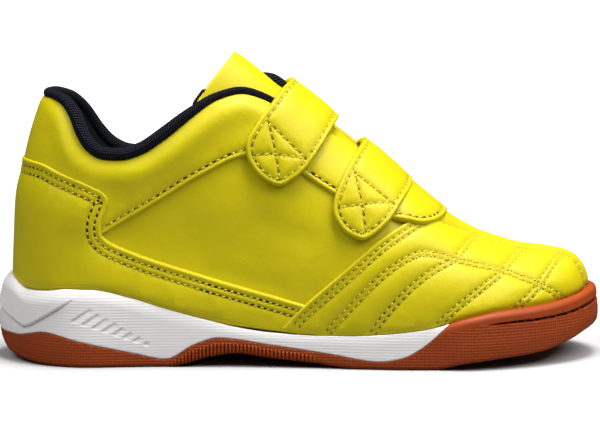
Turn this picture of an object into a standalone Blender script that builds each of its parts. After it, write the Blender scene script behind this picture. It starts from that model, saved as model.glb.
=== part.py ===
"""Indoor court shoe for a child's right foot, standing empty on its sole.

The frame has +X towards the toe, +Y towards the inner (medial) side and +Z up. The floor is z = 0 and the
origin lies under the middle of the shoe. Sizes are in millimetres, and MM turns them into metres.
"""

import math
from collections import namedtuple

import bmesh
import bpy
import numpy as np

MM = 0.001
GAP = 0.3

# Last: the form that the upper is pulled over. Its heel and toe are quarter ellipses in plan.
HEEL_BACK = -98.3
TOE_TIP = 101.0
HEEL_ROUND = 27.0
TOE_ROUND = 46.0
HEEL_LEAN = 7.0
HEEL_LEAN_FROM = 50.0
HEEL_LEAN_RISE = 41.0
HEEL_LEAN_REACH = 50.0
HEEL_SLOPE = 0.045
HEEL_SLOPE_FROM = 28.0
STATIONS = 30
ACROSS = 18
SHARP_EDGE = math.radians(35.0)

# Layers, as distances from the last's face.
WALL = 1.8
OVERLAY = 1.2
STRAP = 2.0
STRAP_SEAT = GAP + OVERLAY + GAP
TONGUE = 2.4
TONGUE_SEAT = WALL + 0.8
INSOLE = 2.5
INSOLE_MARGIN = WALL + 0.5

# Sole: the cup stands outside the overlays, and its wall swells below the rim.
CUP_SEAT = GAP + OVERLAY + GAP
RIM = 3.6
CUP_DRAFT = 0.2
TREAD_EDGE = 2.2
EDGE_ROUND = 1.4
EDGE_INSET = 0.9
BELLY = 0.3
SHOULDER = 0.5
SHOULDER_SWELL = 0.8
LIP = 3.3
LIP_MOST = 0.3
LIP_GROOVE_DEPTH = 1.3
LIP_GROOVE_FROM = 64.0
LIP_GROOVE_FULL = 72.0
STEP_DEPTH = 0.8
TREAD_DEPTH = 1.4
TREAD_WIDTH = 2.0
TREAD_SWEEP = 7.0
ARCH_RIB_PITCH = 2.0
ARCH_RIB_SLOT = 0.9
ARCH_RIB_DEPTH = 1.2
ARCH_RIB_FROM = -36.0
ARCH_RIB_TO = 8.0

# The wall near its rim: depth below the rim in lips, shares of swell and groove, and inset.
LipRing = namedtuple("LipRing", "depth swell inset groove")
LIP_RINGS = (
    LipRing(1.42, 0.5, 0.0, 0.0),
    LipRing(1.38, 0.5, 0.0, 1.0),
    LipRing(1.04, 0.4, 0.0, 1.0),
    LipRing(1.0, 0.4, 0.0, 0.0),
    LipRing(0.45, 0.15, 0.0, 0.0),
    LipRing(0.06, 0.0, 0.6, 0.0),
)

# Collar roll and throat.
ROLL_RADIUS = 1.6
ROLL_SEAT = 0.5
ROLL_FRONT_LATERAL = -14.0
ROLL_FRONT_MEDIAL = -10.0
ROLL_POINTS = 18
THROAT_FRONT = 37.0
THROAT_FLOOR = 46.0
RIM_SEARCH = (0.98, 0.02)

# Half-widths are measured from the ridge; top is the ridge over the instep and a closing crown at the ankle.
Section = namedtuple("Section", "station centre lateral medial base top fullness")
SECTIONS = (
    Section(-98.3, -2.6, 25.8, 25.4, 17.5, 112.0, 2.1),
    Section(-75.0, -2.6, 26.7, 26.2, 17.0, 120.0, 2.1),
    Section(-50.0, -2.3, 26.5, 25.5, 15.5, 121.0, 2.1),
    Section(-22.0, -1.6, 27.5, 25.5, 13.5, 108.5, 2.1),
    Section(0.0, -0.8, 30.0, 27.5, 11.0, 90.5, 2.1),
    Section(20.0, -0.1, 33.5, 31.0, 9.5, 74.0, 2.15),
    Section(40.0, 0.4, 35.8, 33.8, 9.0, 56.5, 2.3),
    Section(55.0, 0.8, 36.0, 34.8, 9.3, 45.0, 2.4),
    Section(70.0, 1.2, 34.5, 33.5, 10.5, 38.4, 2.4),
    Section(80.0, 1.5, 33.4, 32.4, 11.6, 36.1, 2.4),
    Section(88.0, 1.8, 32.8, 31.8, 12.3, 34.5, 2.4),
    Section(94.0, 2.0, 32.3, 31.3, 12.8, 32.4, 2.4),
    Section(98.0, 2.1, 32.0, 31.0, 13.1, 29.0, 2.4),
    Section(100.2, 2.2, 32.0, 31.0, 13.2, 25.6, 2.4),
    Section(101.0, 2.2, 32.0, 31.0, 13.3, 22.5, 2.4),
)

# Rim is the cup's top edge, bottom the tread's face, swell the wall's extra reach below the rim.
SoleRow = namedtuple("SoleRow", "station rim bottom swell")
SOLE = (
    SoleRow(-105.0, 30.2, 6.6, 4.5),
    SoleRow(-101.0, 29.8, 2.6, 4.5),
    SoleRow(-94.0, 26.4, 0.8, 2.0),
    SoleRow(-86.0, 27.0, 0.1, 1.3),
    SoleRow(-80.0, 27.8, 0.0, 1.1),
    SoleRow(-72.0, 27.8, 0.0, 1.0),
    SoleRow(-58.0, 25.0, 0.0, 1.0),
    SoleRow(-45.0, 20.8, 0.0, 1.0),
    SoleRow(-30.0, 16.8, 5.0, 1.0),
    SoleRow(-22.0, 14.8, 6.4, 1.0),
    SoleRow(-10.0, 13.1, 4.3, 1.0),
    SoleRow(6.0, 12.2, 2.2, 1.0),
    SoleRow(20.0, 12.0, 0.0, 1.0),
    SoleRow(32.0, 12.5, 0.0, 1.0),
    SoleRow(46.0, 14.3, 0.0, 1.0),
    SoleRow(57.0, 17.6, 2.2, 1.0),
    SoleRow(67.0, 19.5, 3.3, 1.0),
    SoleRow(84.0, 20.7, 4.8, 1.0),
    SoleRow(94.0, 22.0, 7.4, 1.1),
    SoleRow(100.0, 23.4, 9.6, 1.1),
    SoleRow(105.0, 24.6, 14.0, 1.1),
)

# Where the white unit meets the rubber, seen from the side. Past the last row all is rubber.
Wave = namedtuple("Wave", "station height")
WAVE = (
    Wave(-112.0, 10.6),
    Wave(-99.0, 9.6),
    Wave(-88.0, 11.6),
    Wave(-77.0, 9.3),
    Wave(-56.5, 4.7),
    Wave(-46.0, 2.7),
    Wave(-36.0, 7.8),
    Wave(-28.0, 10.2),
    Wave(-10.0, 7.9),
    Wave(10.0, 5.2),
    Wave(27.5, 2.8),
    Wave(35.5, 4.1),
    Wave(41.0, 6.9),
    Wave(53.5, 17.6),
)
WAVE_STEPS = 46

# Top edge of the leather at the collar, from behind the heel to the throat, seen from each side. The inner
# ankle bone sits further forward than the outer one, and so does the dip for it.
Rim = namedtuple("Rim", "station lateral medial")
COLLAR_RIM = (
    Rim(-112.0, 89.8, 89.8),
    Rim(-87.0, 89.6, 89.6),
    Rim(-82.0, 88.6, 87.6),
    Rim(-78.5, 85.2, 84.6),
    Rim(-76.0, 80.0, 81.4),
    Rim(-72.5, 74.7, 76.0),
    Rim(-67.0, 71.8, 70.6),
    Rim(-61.0, 71.5, 68.0),
    Rim(-54.0, 73.4, 67.4),
    Rim(-46.0, 78.5, 70.2),
    Rim(-36.0, 86.3, 79.0),
    Rim(-28.0, 91.4, 87.4),
    Rim(-20.0, 93.3, 92.6),
    Rim(-12.0, 91.3, 94.4),
    Rim(-4.0, 86.0, 93.4),
)
RIM_STEPS = 36

# The throat's edges in plan, as distances from the ridge.
Throat = namedtuple("Throat", "station lateral medial")
THROAT = (
    Throat(-34.0, 17.0, 16.0),
    Throat(-10.0, 15.7, 10.0),
    Throat(5.0, 12.5, 8.0),
    Throat(20.0, 9.5, 7.5),
    Throat(29.0, 8.0, 7.5),
)
THROAT_STEPS = 12

# Panel edges seen from the side, as (station, height).
Edge = namedtuple("Edge", "station height")
COUNTER_EDGE = (
    Edge(-112.0, 69.4),
    Edge(-90.0, 68.4),
    Edge(-82.0, 66.2),
    Edge(-70.5, 62.3),
    Edge(-66.2, 59.6),
    Edge(-65.1, 57.0),
    Edge(-66.2, 53.2),
    Edge(-67.6, 49.2),
    Edge(-67.7, 46.4),
    Edge(-65.9, 44.0),
    Edge(-59.3, 40.6),
    Edge(-34.0, 31.9),
    Edge(0.0, 22.2),
)
COUNTER_SHOULDER = 60.0
COLLAR_EDGE = (
    Edge(-66.9, 45.9),
    Edge(-47.7, 57.2),
    Edge(-33.9, 65.6),
    Edge(-18.5, 72.4),
    Edge(-9.0, 73.4),
    Edge(0.4, 67.0),
    Edge(13.0, 58.6),
    Edge(23.0, 52.8),
    Edge(33.1, 50.7),
    Edge(43.5, 48.2),
    Edge(48.2, 48.3),
    Edge(50.6, 50.2),
)
VAMP_EDGE = (
    Edge(-17.0, 0.0),
    Edge(-8.4, 11.0),
    Edge(0.3, 20.4),
    Edge(8.9, 28.2),
    Edge(17.6, 35.8),
    Edge(26.0, 43.1),
    Edge(33.1, 50.1),
)
EDGE_STEPS = 3

# Straps lie over the ridge. Rise is 0 at the ridge and 1 at the sole, negative on the lateral side.
StrapRow = namedtuple("StrapRow", "rise back front")
STRAP_UPPER = (
    StrapRow(-0.616, -12.6, -8.8),
    StrapRow(-0.604, -15.6, -6.0),
    StrapRow(-0.575, -18.1, -3.2),
    StrapRow(-0.53, -18.2, 0.2),
    StrapRow(-0.46, -15.4, 3.8),
    StrapRow(-0.33, -10.4, 7.8),
    StrapRow(-0.17, -6.6, 10.6),
    StrapRow(0.0, -4.6, 12.0),
    StrapRow(0.17, -6.6, 10.6),
    StrapRow(0.33, -10.4, 7.8),
    StrapRow(0.52, -17.6, 1.4),
)
STRAP_LOWER = (
    StrapRow(-0.658, 17.0, 21.0),
    StrapRow(-0.644, 14.2, 23.2),
    StrapRow(-0.61, 11.8, 25.8),
    StrapRow(-0.56, 11.7, 28.6),
    StrapRow(-0.48, 13.4, 31.6),
    StrapRow(-0.33, 16.8, 34.8),
    StrapRow(-0.17, 19.6, 37.0),
    StrapRow(0.0, 21.0, 37.8),
    StrapRow(0.17, 19.6, 37.0),
    StrapRow(0.33, 16.8, 34.8),
    StrapRow(0.54, 12.0, 29.6),
)
STRAP_ROWS = 18
STRAP_COLUMNS = 4

# Tongue: half its spread over the ridge and the station of its edge, from the toe end to the top.
TONGUE_FRONT = 41.0
TONGUE_TOP = -22.0
TONGUE_CORNER = -34.5
TONGUE_SPREAD_FRONT = 0.2
TONGUE_SPREAD_TOP = 0.44
TONGUE_ROWS = 12
TONGUE_COLUMNS = 10

# Slanted slots in the midsole's side window, from the heel end to the arch end.
SLOTS = 8
SLOT_FIRST = (-74.9, 19.1)
SLOT_LAST = (-53.0, 9.1)
SLOT_LONG = 7.2
SLOT_SHORT = 2.4
SLOT_WIDTH = 1.2
SLOT_SLANT = math.radians(34.0)

# V step of the heel cup, seen from the side: its lower line and its width.
V_STEP = (
    Edge(-112.0, 21.5),
    Edge(-103.0, 17.2),
    Edge(-95.5, 14.2),
    Edge(-92.5, 15.3),
    Edge(-87.3, 18.1),
    Edge(-78.3, 23.2),
)
V_STEP_WIDTH = 1.1

HEEL_GROOVES = (-75.0, -67.0, -59.0)
FOREFOOT_GROOVES = (26.0, 34.0, 42.0, 50.0, 58.0, 66.0, 74.0, 82.0)
TreadSpan = namedtuple("TreadSpan", "across sweep")
TREAD_SPANS = (
    TreadSpan(-60.0, 1.6),
    TreadSpan(-20.0, 1.0),
    TreadSpan(0.0, 0.0),
    TreadSpan(20.0, 1.0),
    TreadSpan(60.0, 1.6),
)

FAR = 70.0
SKY = 160.0
HEEL_MIDDLE = SECTIONS[0].centre
MIDDLE_OVERLAP = 0.5

YELLOW = (0.78, 0.62, 0.03)
WHITE = (0.80, 0.80, 0.78)
GUM = (0.36, 0.17, 0.06)
BLACK = (0.02, 0.02, 0.022)


def monotone_curve(xs, ys):
    """A smooth curve through a table's rows that never overshoots them; it stays level past both ends."""
    xs = np.asarray(xs, float)
    ys = np.asarray(ys, float)
    step = np.diff(xs)
    slope = np.diff(ys) / step
    tangent = np.zeros_like(xs)
    tangent[0] = slope[0]
    tangent[-1] = slope[-1]
    for i in range(1, len(xs) - 1):
        if slope[i - 1] * slope[i] > 0.0:
            before = 2.0 * step[i] + step[i - 1]
            after = step[i] + 2.0 * step[i - 1]
            tangent[i] = (before + after) / (before / slope[i - 1] + after / slope[i])

    def curve(x):
        x = np.clip(np.asarray(x, float), xs[0], xs[-1])
        k = np.clip(np.searchsorted(xs, x, side="right") - 1, 0, len(xs) - 2)
        t = (x - xs[k]) / step[k]
        rise = ys[k] * (1.0 + 2.0 * t) * (1.0 - t) ** 2 + ys[k + 1] * t * t * (3.0 - 2.0 * t)
        return rise + step[k] * (tangent[k] * t * (1.0 - t) ** 2 + tangent[k + 1] * t * t * (t - 1.0))

    return curve


def column(rows, name):
    """One column of a table as a smooth curve over its first column."""
    return monotone_curve([row[0] for row in rows], [getattr(row, name) for row in rows])


def smooth_line(rows, steps):
    """A smooth open line through (station, height) rows, with a few points between each two."""
    points = np.array([(row.station, row.height) for row in rows])
    length = np.concatenate([[0.0], np.cumsum(np.linalg.norm(np.diff(points, axis=0), axis=1))])
    along = np.interp(np.arange((len(rows) - 1) * steps + 1) / steps, np.arange(len(rows)), length)
    stations = monotone_curve(length, points[:, 0])(along)
    heights = monotone_curve(length, points[:, 1])(along)
    return np.stack([stations, heights], axis=1)


centre_of = column(SECTIONS, "centre")
lateral_of = column(SECTIONS, "lateral")
medial_of = column(SECTIONS, "medial")
base_of = column(SECTIONS, "base")
top_of = column(SECTIONS, "top")
fullness_of = column(SECTIONS, "fullness")
rim_of = column(SOLE, "rim")
bottom_of = column(SOLE, "bottom")
swell_of = column(SOLE, "swell")
collar_lateral = column(COLLAR_RIM, "lateral")
collar_medial = column(COLLAR_RIM, "medial")
throat_lateral = column(THROAT, "lateral")
throat_medial = column(THROAT, "medial")


def station_at(u):
    """Station for u from 0 at the heel's back to 1 at the toe, closer together at both round ends."""
    return HEEL_BACK + (TOE_TIP - HEEL_BACK) * (1.0 - np.cos(math.pi * np.asarray(u, float))) / 2.0


def round_ends(x):
    """Share of the full width at a station, from quarter ellipses at heel and toe."""
    heel = np.clip((x - HEEL_BACK) / HEEL_ROUND, 0.0, 1.0)
    toe = np.clip((TOE_TIP - x) / TOE_ROUND, 0.0, 1.0)
    return np.sqrt(1.0 - (1.0 - heel) ** 2) * np.sqrt(1.0 - (1.0 - toe) ** 2)


def heel_lean(x, z):
    """Forward lean of the heel's back, growing with height and fading towards the waist."""
    rise = np.clip((z - HEEL_LEAN_FROM) / HEEL_LEAN_RISE, 0.0, None)
    near = np.clip(1.0 - (x - HEEL_BACK) / HEEL_LEAN_REACH, 0.0, 1.0)
    straight = HEEL_SLOPE * np.clip(z - HEEL_SLOPE_FROM, 0.0, None)
    return (straight + HEEL_LEAN * rise ** 2) * near ** 2 * (3.0 - 2.0 * near)


def last_point(x, rise):
    """Point on the last: rise is -1 at the lateral sole edge, 0 on the ridge and 1 at the medial edge."""
    x = np.asarray(x, float)
    rise = np.asarray(rise, float)
    angle = (1.0 - np.abs(rise)) * math.pi / 2.0
    power = 2.0 / fullness_of(x)
    half = np.where(rise < 0.0, lateral_of(x), medial_of(x)) * round_ends(x)
    y = centre_of(x) + np.sign(rise) * half * np.cos(angle) ** power
    z = base_of(x) + (top_of(x) - base_of(x)) * np.sin(angle) ** power
    return np.stack([x + heel_lean(x, z), y, z], axis=-1)


def last_normal(x, rise):
    """Outward normal of the last, from small steps along and across it."""
    small_x = 0.05
    small_rise = 0.004
    along = last_point(x + small_x, rise) - last_point(x - small_x, rise)
    across = last_point(x, rise + small_rise) - last_point(x, rise - small_rise)
    normal = np.cross(along, across)
    return normal / np.linalg.norm(normal, axis=-1, keepdims=True)


def plan_outline(offset):
    """The last's bottom edge in plan, moved outwards: lateral side heel to toe, then back medially."""
    x = station_at(np.linspace(0.0, 1.0, STATIONS + 1))
    lateral = last_point(x, np.full_like(x, -1.0))[:, :2]
    medial = last_point(x, np.full_like(x, 1.0))[:, :2]
    points = np.concatenate([lateral, medial[-2:0:-1]])
    tangent = np.roll(points, -1, axis=0) - np.roll(points, 1, axis=0)
    tangent /= np.linalg.norm(tangent, axis=1, keepdims=True)
    outward = np.stack([tangent[:, 1], -tangent[:, 0]], axis=1)
    return points + outward * np.broadcast_to(offset, (len(points),))[:, None]


def clear_scene():
    for old in list(bpy.data.objects):
        bpy.data.objects.remove(old, do_unlink=True)


def new_collection(name):
    group = bpy.data.collections.new(name)
    bpy.context.scene.collection.children.link(group)
    return group


def new_material(name, colour, roughness):
    material = bpy.data.materials.new(name)
    material.use_nodes = True
    shader = material.node_tree.nodes["Principled BSDF"]
    shader.inputs["Base Color"].default_value = (*colour, 1.0)
    shader.inputs["Roughness"].default_value = roughness
    shader.inputs["Metallic"].default_value = 0.0
    return material


clear_scene()
SHOE = new_collection("indoor_court_shoe")
CUTTERS = new_collection("cutters")
ROOT = bpy.data.objects.new("shoe_frame", None)
SHOE.objects.link(ROOT)


def add_part(name, form, colour, roughness):
    """Turn a form in millimetres into a named sub-part in metres with its own material."""
    bmesh.ops.scale(form, vec=(MM, MM, MM), verts=form.verts)
    mesh = bpy.data.meshes.new(name)
    form.to_mesh(mesh)
    form.free()
    mesh.shade_smooth()
    mesh.set_sharp_from_angle(angle=SHARP_EDGE)
    mesh.materials.append(new_material(name, colour, roughness))
    part = bpy.data.objects.new(name, mesh)
    part.parent = ROOT
    SHOE.objects.link(part)
    return part


def add_cutter(name, form):
    """Turn a form in millimetres into a hidden cutter."""
    bmesh.ops.recalc_face_normals(form, faces=form.faces)
    bmesh.ops.scale(form, vec=(MM, MM, MM), verts=form.verts)
    mesh = bpy.data.meshes.new(name)
    form.to_mesh(mesh)
    form.free()
    cutter = bpy.data.objects.new(name, mesh)
    cutter.hide_render = True
    cutter.display_type = "WIRE"
    CUTTERS.objects.link(cutter)
    return cutter


def cut(part, cutter, operation="DIFFERENCE"):
    boolean = part.modifiers.new(cutter.name, "BOOLEAN")
    boolean.operation = operation
    boolean.object = cutter


def thicken(part, thickness, side):
    """Give an open surface its wall: side 1 adds it outwards, -1 inwards."""
    solidify = part.modifiers.new("wall", "SOLIDIFY")
    solidify.thickness = thickness * MM
    solidify.offset = side
    solidify.use_even_offset = True


def face_outwards(form):
    """Turn an open surface so that the face under the highest point looks up."""
    bmesh.ops.recalc_face_normals(form, faces=form.faces)
    form.normal_update()
    highest = max(form.verts, key=lambda vert: vert.co.z)
    if highest.normal.z < 0.0:
        bmesh.ops.reverse_faces(form, faces=form.faces)
    form.normal_update()


def mapped_grid(columns, rows, place):
    """A grid primitive whose corners (u, v), both from 0 to 1, are moved to place(u, v)."""
    form = bmesh.new()
    bmesh.ops.create_grid(form, x_segments=columns, y_segments=rows, size=0.5)
    u = np.array([vert.co.x + 0.5 for vert in form.verts])
    v = np.array([vert.co.y + 0.5 for vert in form.verts])
    for vert, point in zip(form.verts, place(u, v)):
        vert.co = point
    return form


def last_form(offset):
    """The last's whole face as an open dome, moved outwards by the offset."""
    form = mapped_grid(STATIONS, ACROSS, lambda u, v: last_point(station_at(u), 2.0 * v - 1.0))
    bmesh.ops.remove_doubles(form, verts=form.verts, dist=0.001)
    face_outwards(form)
    moves = [vert.normal * offset for vert in form.verts]
    for vert, move in zip(form.verts, moves):
        vert.co += move
    return form


def side_prism(outline, lateral_y=-FAR, medial_y=FAR):
    """A solid with this outline seen from the side, right through the shoe or through a part of its width."""
    form = bmesh.new()
    near = [form.verts.new((x, lateral_y, z)) for x, z in outline]
    face = form.faces.new(near)
    pulled = bmesh.ops.extrude_face_region(form, geom=[face])["geom"]
    far = [item for item in pulled if isinstance(item, bmesh.types.BMVert)]
    bmesh.ops.translate(form, verts=far, vec=(0.0, medial_y - lateral_y, 0.0))
    return form


def merge_forms(forms):
    """Several separate closed forms in one."""
    joined = bmesh.new()
    for form in forms:
        mesh = bpy.data.meshes.new("loose")
        form.to_mesh(mesh)
        joined.from_mesh(mesh)
        bpy.data.meshes.remove(mesh)
        form.free()
    return joined


def collar_cutter(name, height_of, lateral_y, medial_y):
    """Everything above the collar's rim on one side of the shoe."""
    x = np.linspace(COLLAR_RIM[0].station, COLLAR_RIM[-1].station, RIM_STEPS + 1)
    outline = list(zip(x, height_of(x)))
    outline += [(COLLAR_RIM[-1].station, SKY), (COLLAR_RIM[0].station, SKY)]
    return add_cutter(name, side_prism(outline, lateral_y, medial_y))


def throat_cutter():
    """The throat seen from above: two edges that close towards the toe and a round end."""
    x = np.linspace(THROAT[0].station, THROAT[-1].station, THROAT_STEPS + 1)
    end = THROAT[-1]
    turn = np.linspace(0.0, math.pi, 7)[1:-1]
    arc_x = end.station + (THROAT_FRONT - end.station) * np.sin(turn)
    arc_y = centre_of(arc_x) - (end.lateral + end.medial) / 2.0 * np.cos(turn)
    edge = [*zip(x, centre_of(x) - throat_lateral(x)), *zip(arc_x, arc_y)]
    edge += [*zip(x[::-1], centre_of(x[::-1]) + throat_medial(x[::-1]))]
    form = bmesh.new()
    low = [form.verts.new((x, y, THROAT_FLOOR)) for x, y in edge]
    face = form.faces.new(low)
    pulled = bmesh.ops.extrude_face_region(form, geom=[face])["geom"]
    high = [item for item in pulled if isinstance(item, bmesh.types.BMVert)]
    bmesh.ops.translate(form, verts=high, vec=(0.0, 0.0, SKY - THROAT_FLOOR))
    return add_cutter("throat_opening", form)


def build_upper(openings):
    upper = add_part("upper", last_form(0.0), YELLOW, 0.5)
    thicken(upper, WALL, -1.0)
    for opening in openings:
        cut(upper, opening)


def build_overlay(name, outline, openings):
    """A panel cut from the layer just above the upper, by its outline seen from the side."""
    panel = add_part(name, last_form(GAP), YELLOW, 0.5)
    thicken(panel, OVERLAY, 1.0)
    cut(panel, add_cutter(name + "_outline", side_prism(outline)), "INTERSECT")
    for opening in openings:
        cut(panel, opening)


def build_overlays(openings):
    counter = smooth_line(COUNTER_EDGE, EDGE_STEPS)
    collar_edge = smooth_line(COLLAR_EDGE, EDGE_STEPS)
    vamp = smooth_line(VAMP_EDGE, EDGE_STEPS)
    behind = COUNTER_EDGE[0].station
    below = -20.0
    ahead = 125.0

    vamp_outline = [*vamp]
    tab = collar_edge[collar_edge[:, 0] > VAMP_EDGE[-1].station]
    vamp_outline += [(x + GAP, z - 2.0 * GAP) for x, z in tab]
    tab_front = COLLAR_EDGE[-1].station + GAP
    vamp_outline += [(tab_front, SKY), (ahead, SKY), (ahead, below), (VAMP_EDGE[0].station, below)]
    build_overlay("vamp_overlay", vamp_outline, ())

    # The foxing stops just behind the vamp's edge.
    crossing = vamp[:, 0] + GAP < COUNTER_EDGE[-1].station
    foxing_front = [(x - 2.0 * GAP, z) for x, z in vamp[crossing][::-1]]
    counter_outline = [*counter[:-1], *foxing_front]
    counter_outline += [(VAMP_EDGE[0].station - 2.0 * GAP, below), (behind, below)]
    build_overlay("heel_counter", counter_outline, ())

    # The collar panel starts on the counter's top edge and leaves it where its own lower edge begins.
    shared = counter[counter[:, 1] > COLLAR_EDGE[0].height + 2.0 * GAP]
    ahead_of_counter = [(x + 2.0 * GAP if z < COUNTER_SHOULDER else x, z + 2.0 * GAP) for x, z in shared]
    collar_outline = [*ahead_of_counter, *collar_edge]
    collar_outline += [(COLLAR_EDGE[-1].station, SKY), (behind, SKY)]
    build_overlay("collar_panel", collar_outline, openings)


def rim_point(x, side):
    """Point on the last's face at the collar's rim: the rise is found by halving."""
    height_of = collar_lateral if side < 0 else collar_medial
    low = RIM_SEARCH[0] * side
    high = RIM_SEARCH[1] * side
    for _ in range(40):
        middle = (low + high) / 2.0
        point = last_point(x, middle)
        if point[2] < height_of(point[0]):
            low = middle
        else:
            high = middle
    return last_point(x, low)


def build_collar_binding():
    """A padded textile roll on the collar's rim, from one side of the throat round the heel to the other."""

    def share_at(station):
        return math.acos(1.0 - 2.0 * (station - HEEL_BACK) / (TOE_TIP - HEEL_BACK)) / math.pi

    small = 0.2
    seats = []
    for side, front, height_of in (
        (-1, ROLL_FRONT_LATERAL, collar_lateral),
        (1, ROLL_FRONT_MEDIAL, collar_medial),
    ):
        half = []
        for share in np.linspace(0.0, share_at(front), ROLL_POINTS):
            place = rim_point(station_at(share), side)
            slope = (height_of(place[0] + small) - height_of(place[0] - small)) / (2.0 * small)
            up = np.array([-slope, 0.0, 1.0]) / math.hypot(slope, 1.0)
            half.append(place + up * (ROLL_RADIUS + ROLL_SEAT))
        seats.append(half)
    route = seats[0][::-1] + seats[1][1:]
    curve = bpy.data.curves.new("collar_binding", "CURVE")
    curve.dimensions = "3D"
    curve.bevel_depth = ROLL_RADIUS * MM
    curve.bevel_resolution = 2
    curve.use_fill_caps = True
    spline = curve.splines.new("POLY")
    spline.points.add(len(route) - 1)
    for point, seat in zip(spline.points, route):
        point.co = (*(seat * MM), 1.0)
    curve.materials.append(new_material("collar_binding", BLACK, 0.9))
    roll = bpy.data.objects.new("collar_binding", curve)
    roll.parent = ROOT
    SHOE.objects.link(roll)
    weld = roll.modifiers.new("caps", "WELD")
    weld.merge_threshold = 0.00001


def build_strap(name, rows):
    """A band over the ridge with a round free end on the lateral side and a square medial end."""
    back_of = column(rows, "back")
    front_of = column(rows, "front")

    def place(u, v):
        rise = rows[0].rise + (rows[-1].rise - rows[0].rise) * v
        x = back_of(rise) + (front_of(rise) - back_of(rise)) * u
        return last_point(x, rise) + last_normal(x, rise) * STRAP_SEAT

    form = mapped_grid(STRAP_COLUMNS, STRAP_ROWS, place)
    face_outwards(form)
    strap = add_part(name, form, YELLOW, 0.5)
    thicken(strap, STRAP, 1.0)


def build_tongue():
    """A padded sheet under the throat, cut square to the ridge at its top."""

    def place(u, v):
        spread = 2.0 * v - 1.0
        widest = TONGUE_SPREAD_FRONT + (TONGUE_SPREAD_TOP - TONGUE_SPREAD_FRONT) * u
        top = TONGUE_TOP + (TONGUE_CORNER - TONGUE_TOP) * spread ** 2
        x = TONGUE_FRONT + (top - TONGUE_FRONT) * u
        rise = spread * widest
        return last_point(x, rise) - last_normal(x, rise) * TONGUE_SEAT

    form = mapped_grid(TONGUE_ROWS, TONGUE_COLUMNS, place)
    face_outwards(form)
    tongue = add_part("tongue", form, YELLOW, 0.5)
    thicken(tongue, TONGUE, -1.0)


def build_insole():
    """A sheet that lies on the cup's floor, just inside the upper's wall."""
    edge = plan_outline(-INSOLE_MARGIN)
    lateral = edge[: STATIONS + 1]
    medial = np.concatenate([edge[:1], edge[:STATIONS:-1], edge[STATIONS:STATIONS + 1]])

    def place(u, v):
        k = np.rint(u * STATIONS).astype(int)
        spot = lateral[k] + (medial[k] - lateral[k]) * v[:, None]
        return np.column_stack([spot, base_of(spot[:, 0])])

    form = mapped_grid(STATIONS, 2, place)
    bmesh.ops.remove_doubles(form, verts=form.verts, dist=0.001)
    face_outwards(form)
    insole = add_part("insole", form, BLACK, 0.8)
    thicken(insole, INSOLE, 1.0)


def sole_rings(wall_inset):
    """Rings of the whole sole from the tread, up its wall, over the rim and down to the cup's floor."""
    seat = plan_outline(0.0)[:, 0]
    swell = swell_of(seat)
    fade = np.clip((seat - LIP_GROOVE_FROM) / (LIP_GROOVE_FULL - LIP_GROOVE_FROM), 0.0, 1.0)
    groove = LIP_GROOVE_DEPTH * fade
    rings = []

    def ring(offset, height):
        spot = plan_outline(offset - wall_inset)
        rings.append(np.column_stack([spot, height(spot[:, 0])]))

    def wall_height(share):
        return lambda x: bottom_of(x) + share * (rim_of(x) - bottom_of(x))

    def lip_height(share):
        return lambda x: rim_of(x) - share * np.minimum(LIP, LIP_MOST * (rim_of(x) - bottom_of(x)))

    ring(TREAD_EDGE, bottom_of)
    ring(RIM + swell - EDGE_INSET, lambda x: bottom_of(x) + EDGE_ROUND)
    ring(RIM + swell, wall_height(BELLY))
    ring(RIM + SHOULDER_SWELL * swell, wall_height(SHOULDER))
    for row in LIP_RINGS:
        ring(RIM + row.swell * swell - row.inset - row.groove * groove, lip_height(row.depth))
    ring(CUP_SEAT + CUP_DRAFT, rim_of)
    ring(CUP_SEAT, lambda x: base_of(x) - GAP)
    return rings


def sole_form(wall_inset=0.0):
    """The whole sole as a closed loft of its rings, with floor and tread face bridged from side to side."""
    rings = sole_rings(wall_inset)
    form = bmesh.new()
    verts = [[form.verts.new(point) for point in ring] for ring in rings]
    count = len(verts[0])
    for lower, upper in zip(verts, verts[1:]):
        for j in range(count):
            k = (j + 1) % count
            form.faces.new((lower[j], lower[k], upper[k], upper[j]))
    for ring in (verts[0], verts[-1]):
        form.faces.new((ring[0], ring[1], ring[-1]))
        form.faces.new((ring[STATIONS - 1], ring[STATIONS], ring[STATIONS + 1]))
        for j in range(1, STATIONS - 1):
            form.faces.new((ring[j], ring[j + 1], ring[count - j - 1], ring[count - j]))
    bmesh.ops.recalc_face_normals(form, faces=form.faces)
    return form


def wave_outline(lift):
    """Everything below the line where the white unit meets the rubber, seen from the side."""
    x = np.linspace(WAVE[0].station, WAVE[-1].station, WAVE_STEPS + 1)
    height = column(WAVE, "height")(x)
    slope = np.gradient(height, x)
    steep = np.hypot(slope, 1.0)
    line = [*zip(x - lift * slope / steep, height + lift / steep)]
    front = (WAVE[-1].station + 1.0 - lift, SKY)
    return [*line, front, (FAR * 2.0, SKY), (FAR * 2.0, -FAR), (WAVE[0].station, -FAR)]


def tread_groove(station, sweep, width, depth):
    """A groove across the tread, swept back from its middle, as deep as asked below the tread's own face."""
    form = bmesh.new()
    frames = []
    for span in TREAD_SPANS:
        x = station - sweep * span.sweep
        corners = []
        for edge_x in (x - width / 2.0, x + width / 2.0):
            corners.append((edge_x, span.across, float(bottom_of(edge_x)) + depth))
        corners += [(x + width / 2.0, span.across, -FAR), (x - width / 2.0, span.across, -FAR)]
        frames.append([form.verts.new(corner) for corner in corners])
    for near, far in zip(frames, frames[1:]):
        for j in range(4):
            k = (j + 1) % 4
            form.faces.new((near[j], near[k], far[k], far[j]))
    form.faces.new(frames[0])
    form.faces.new(frames[-1])
    return form


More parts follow.
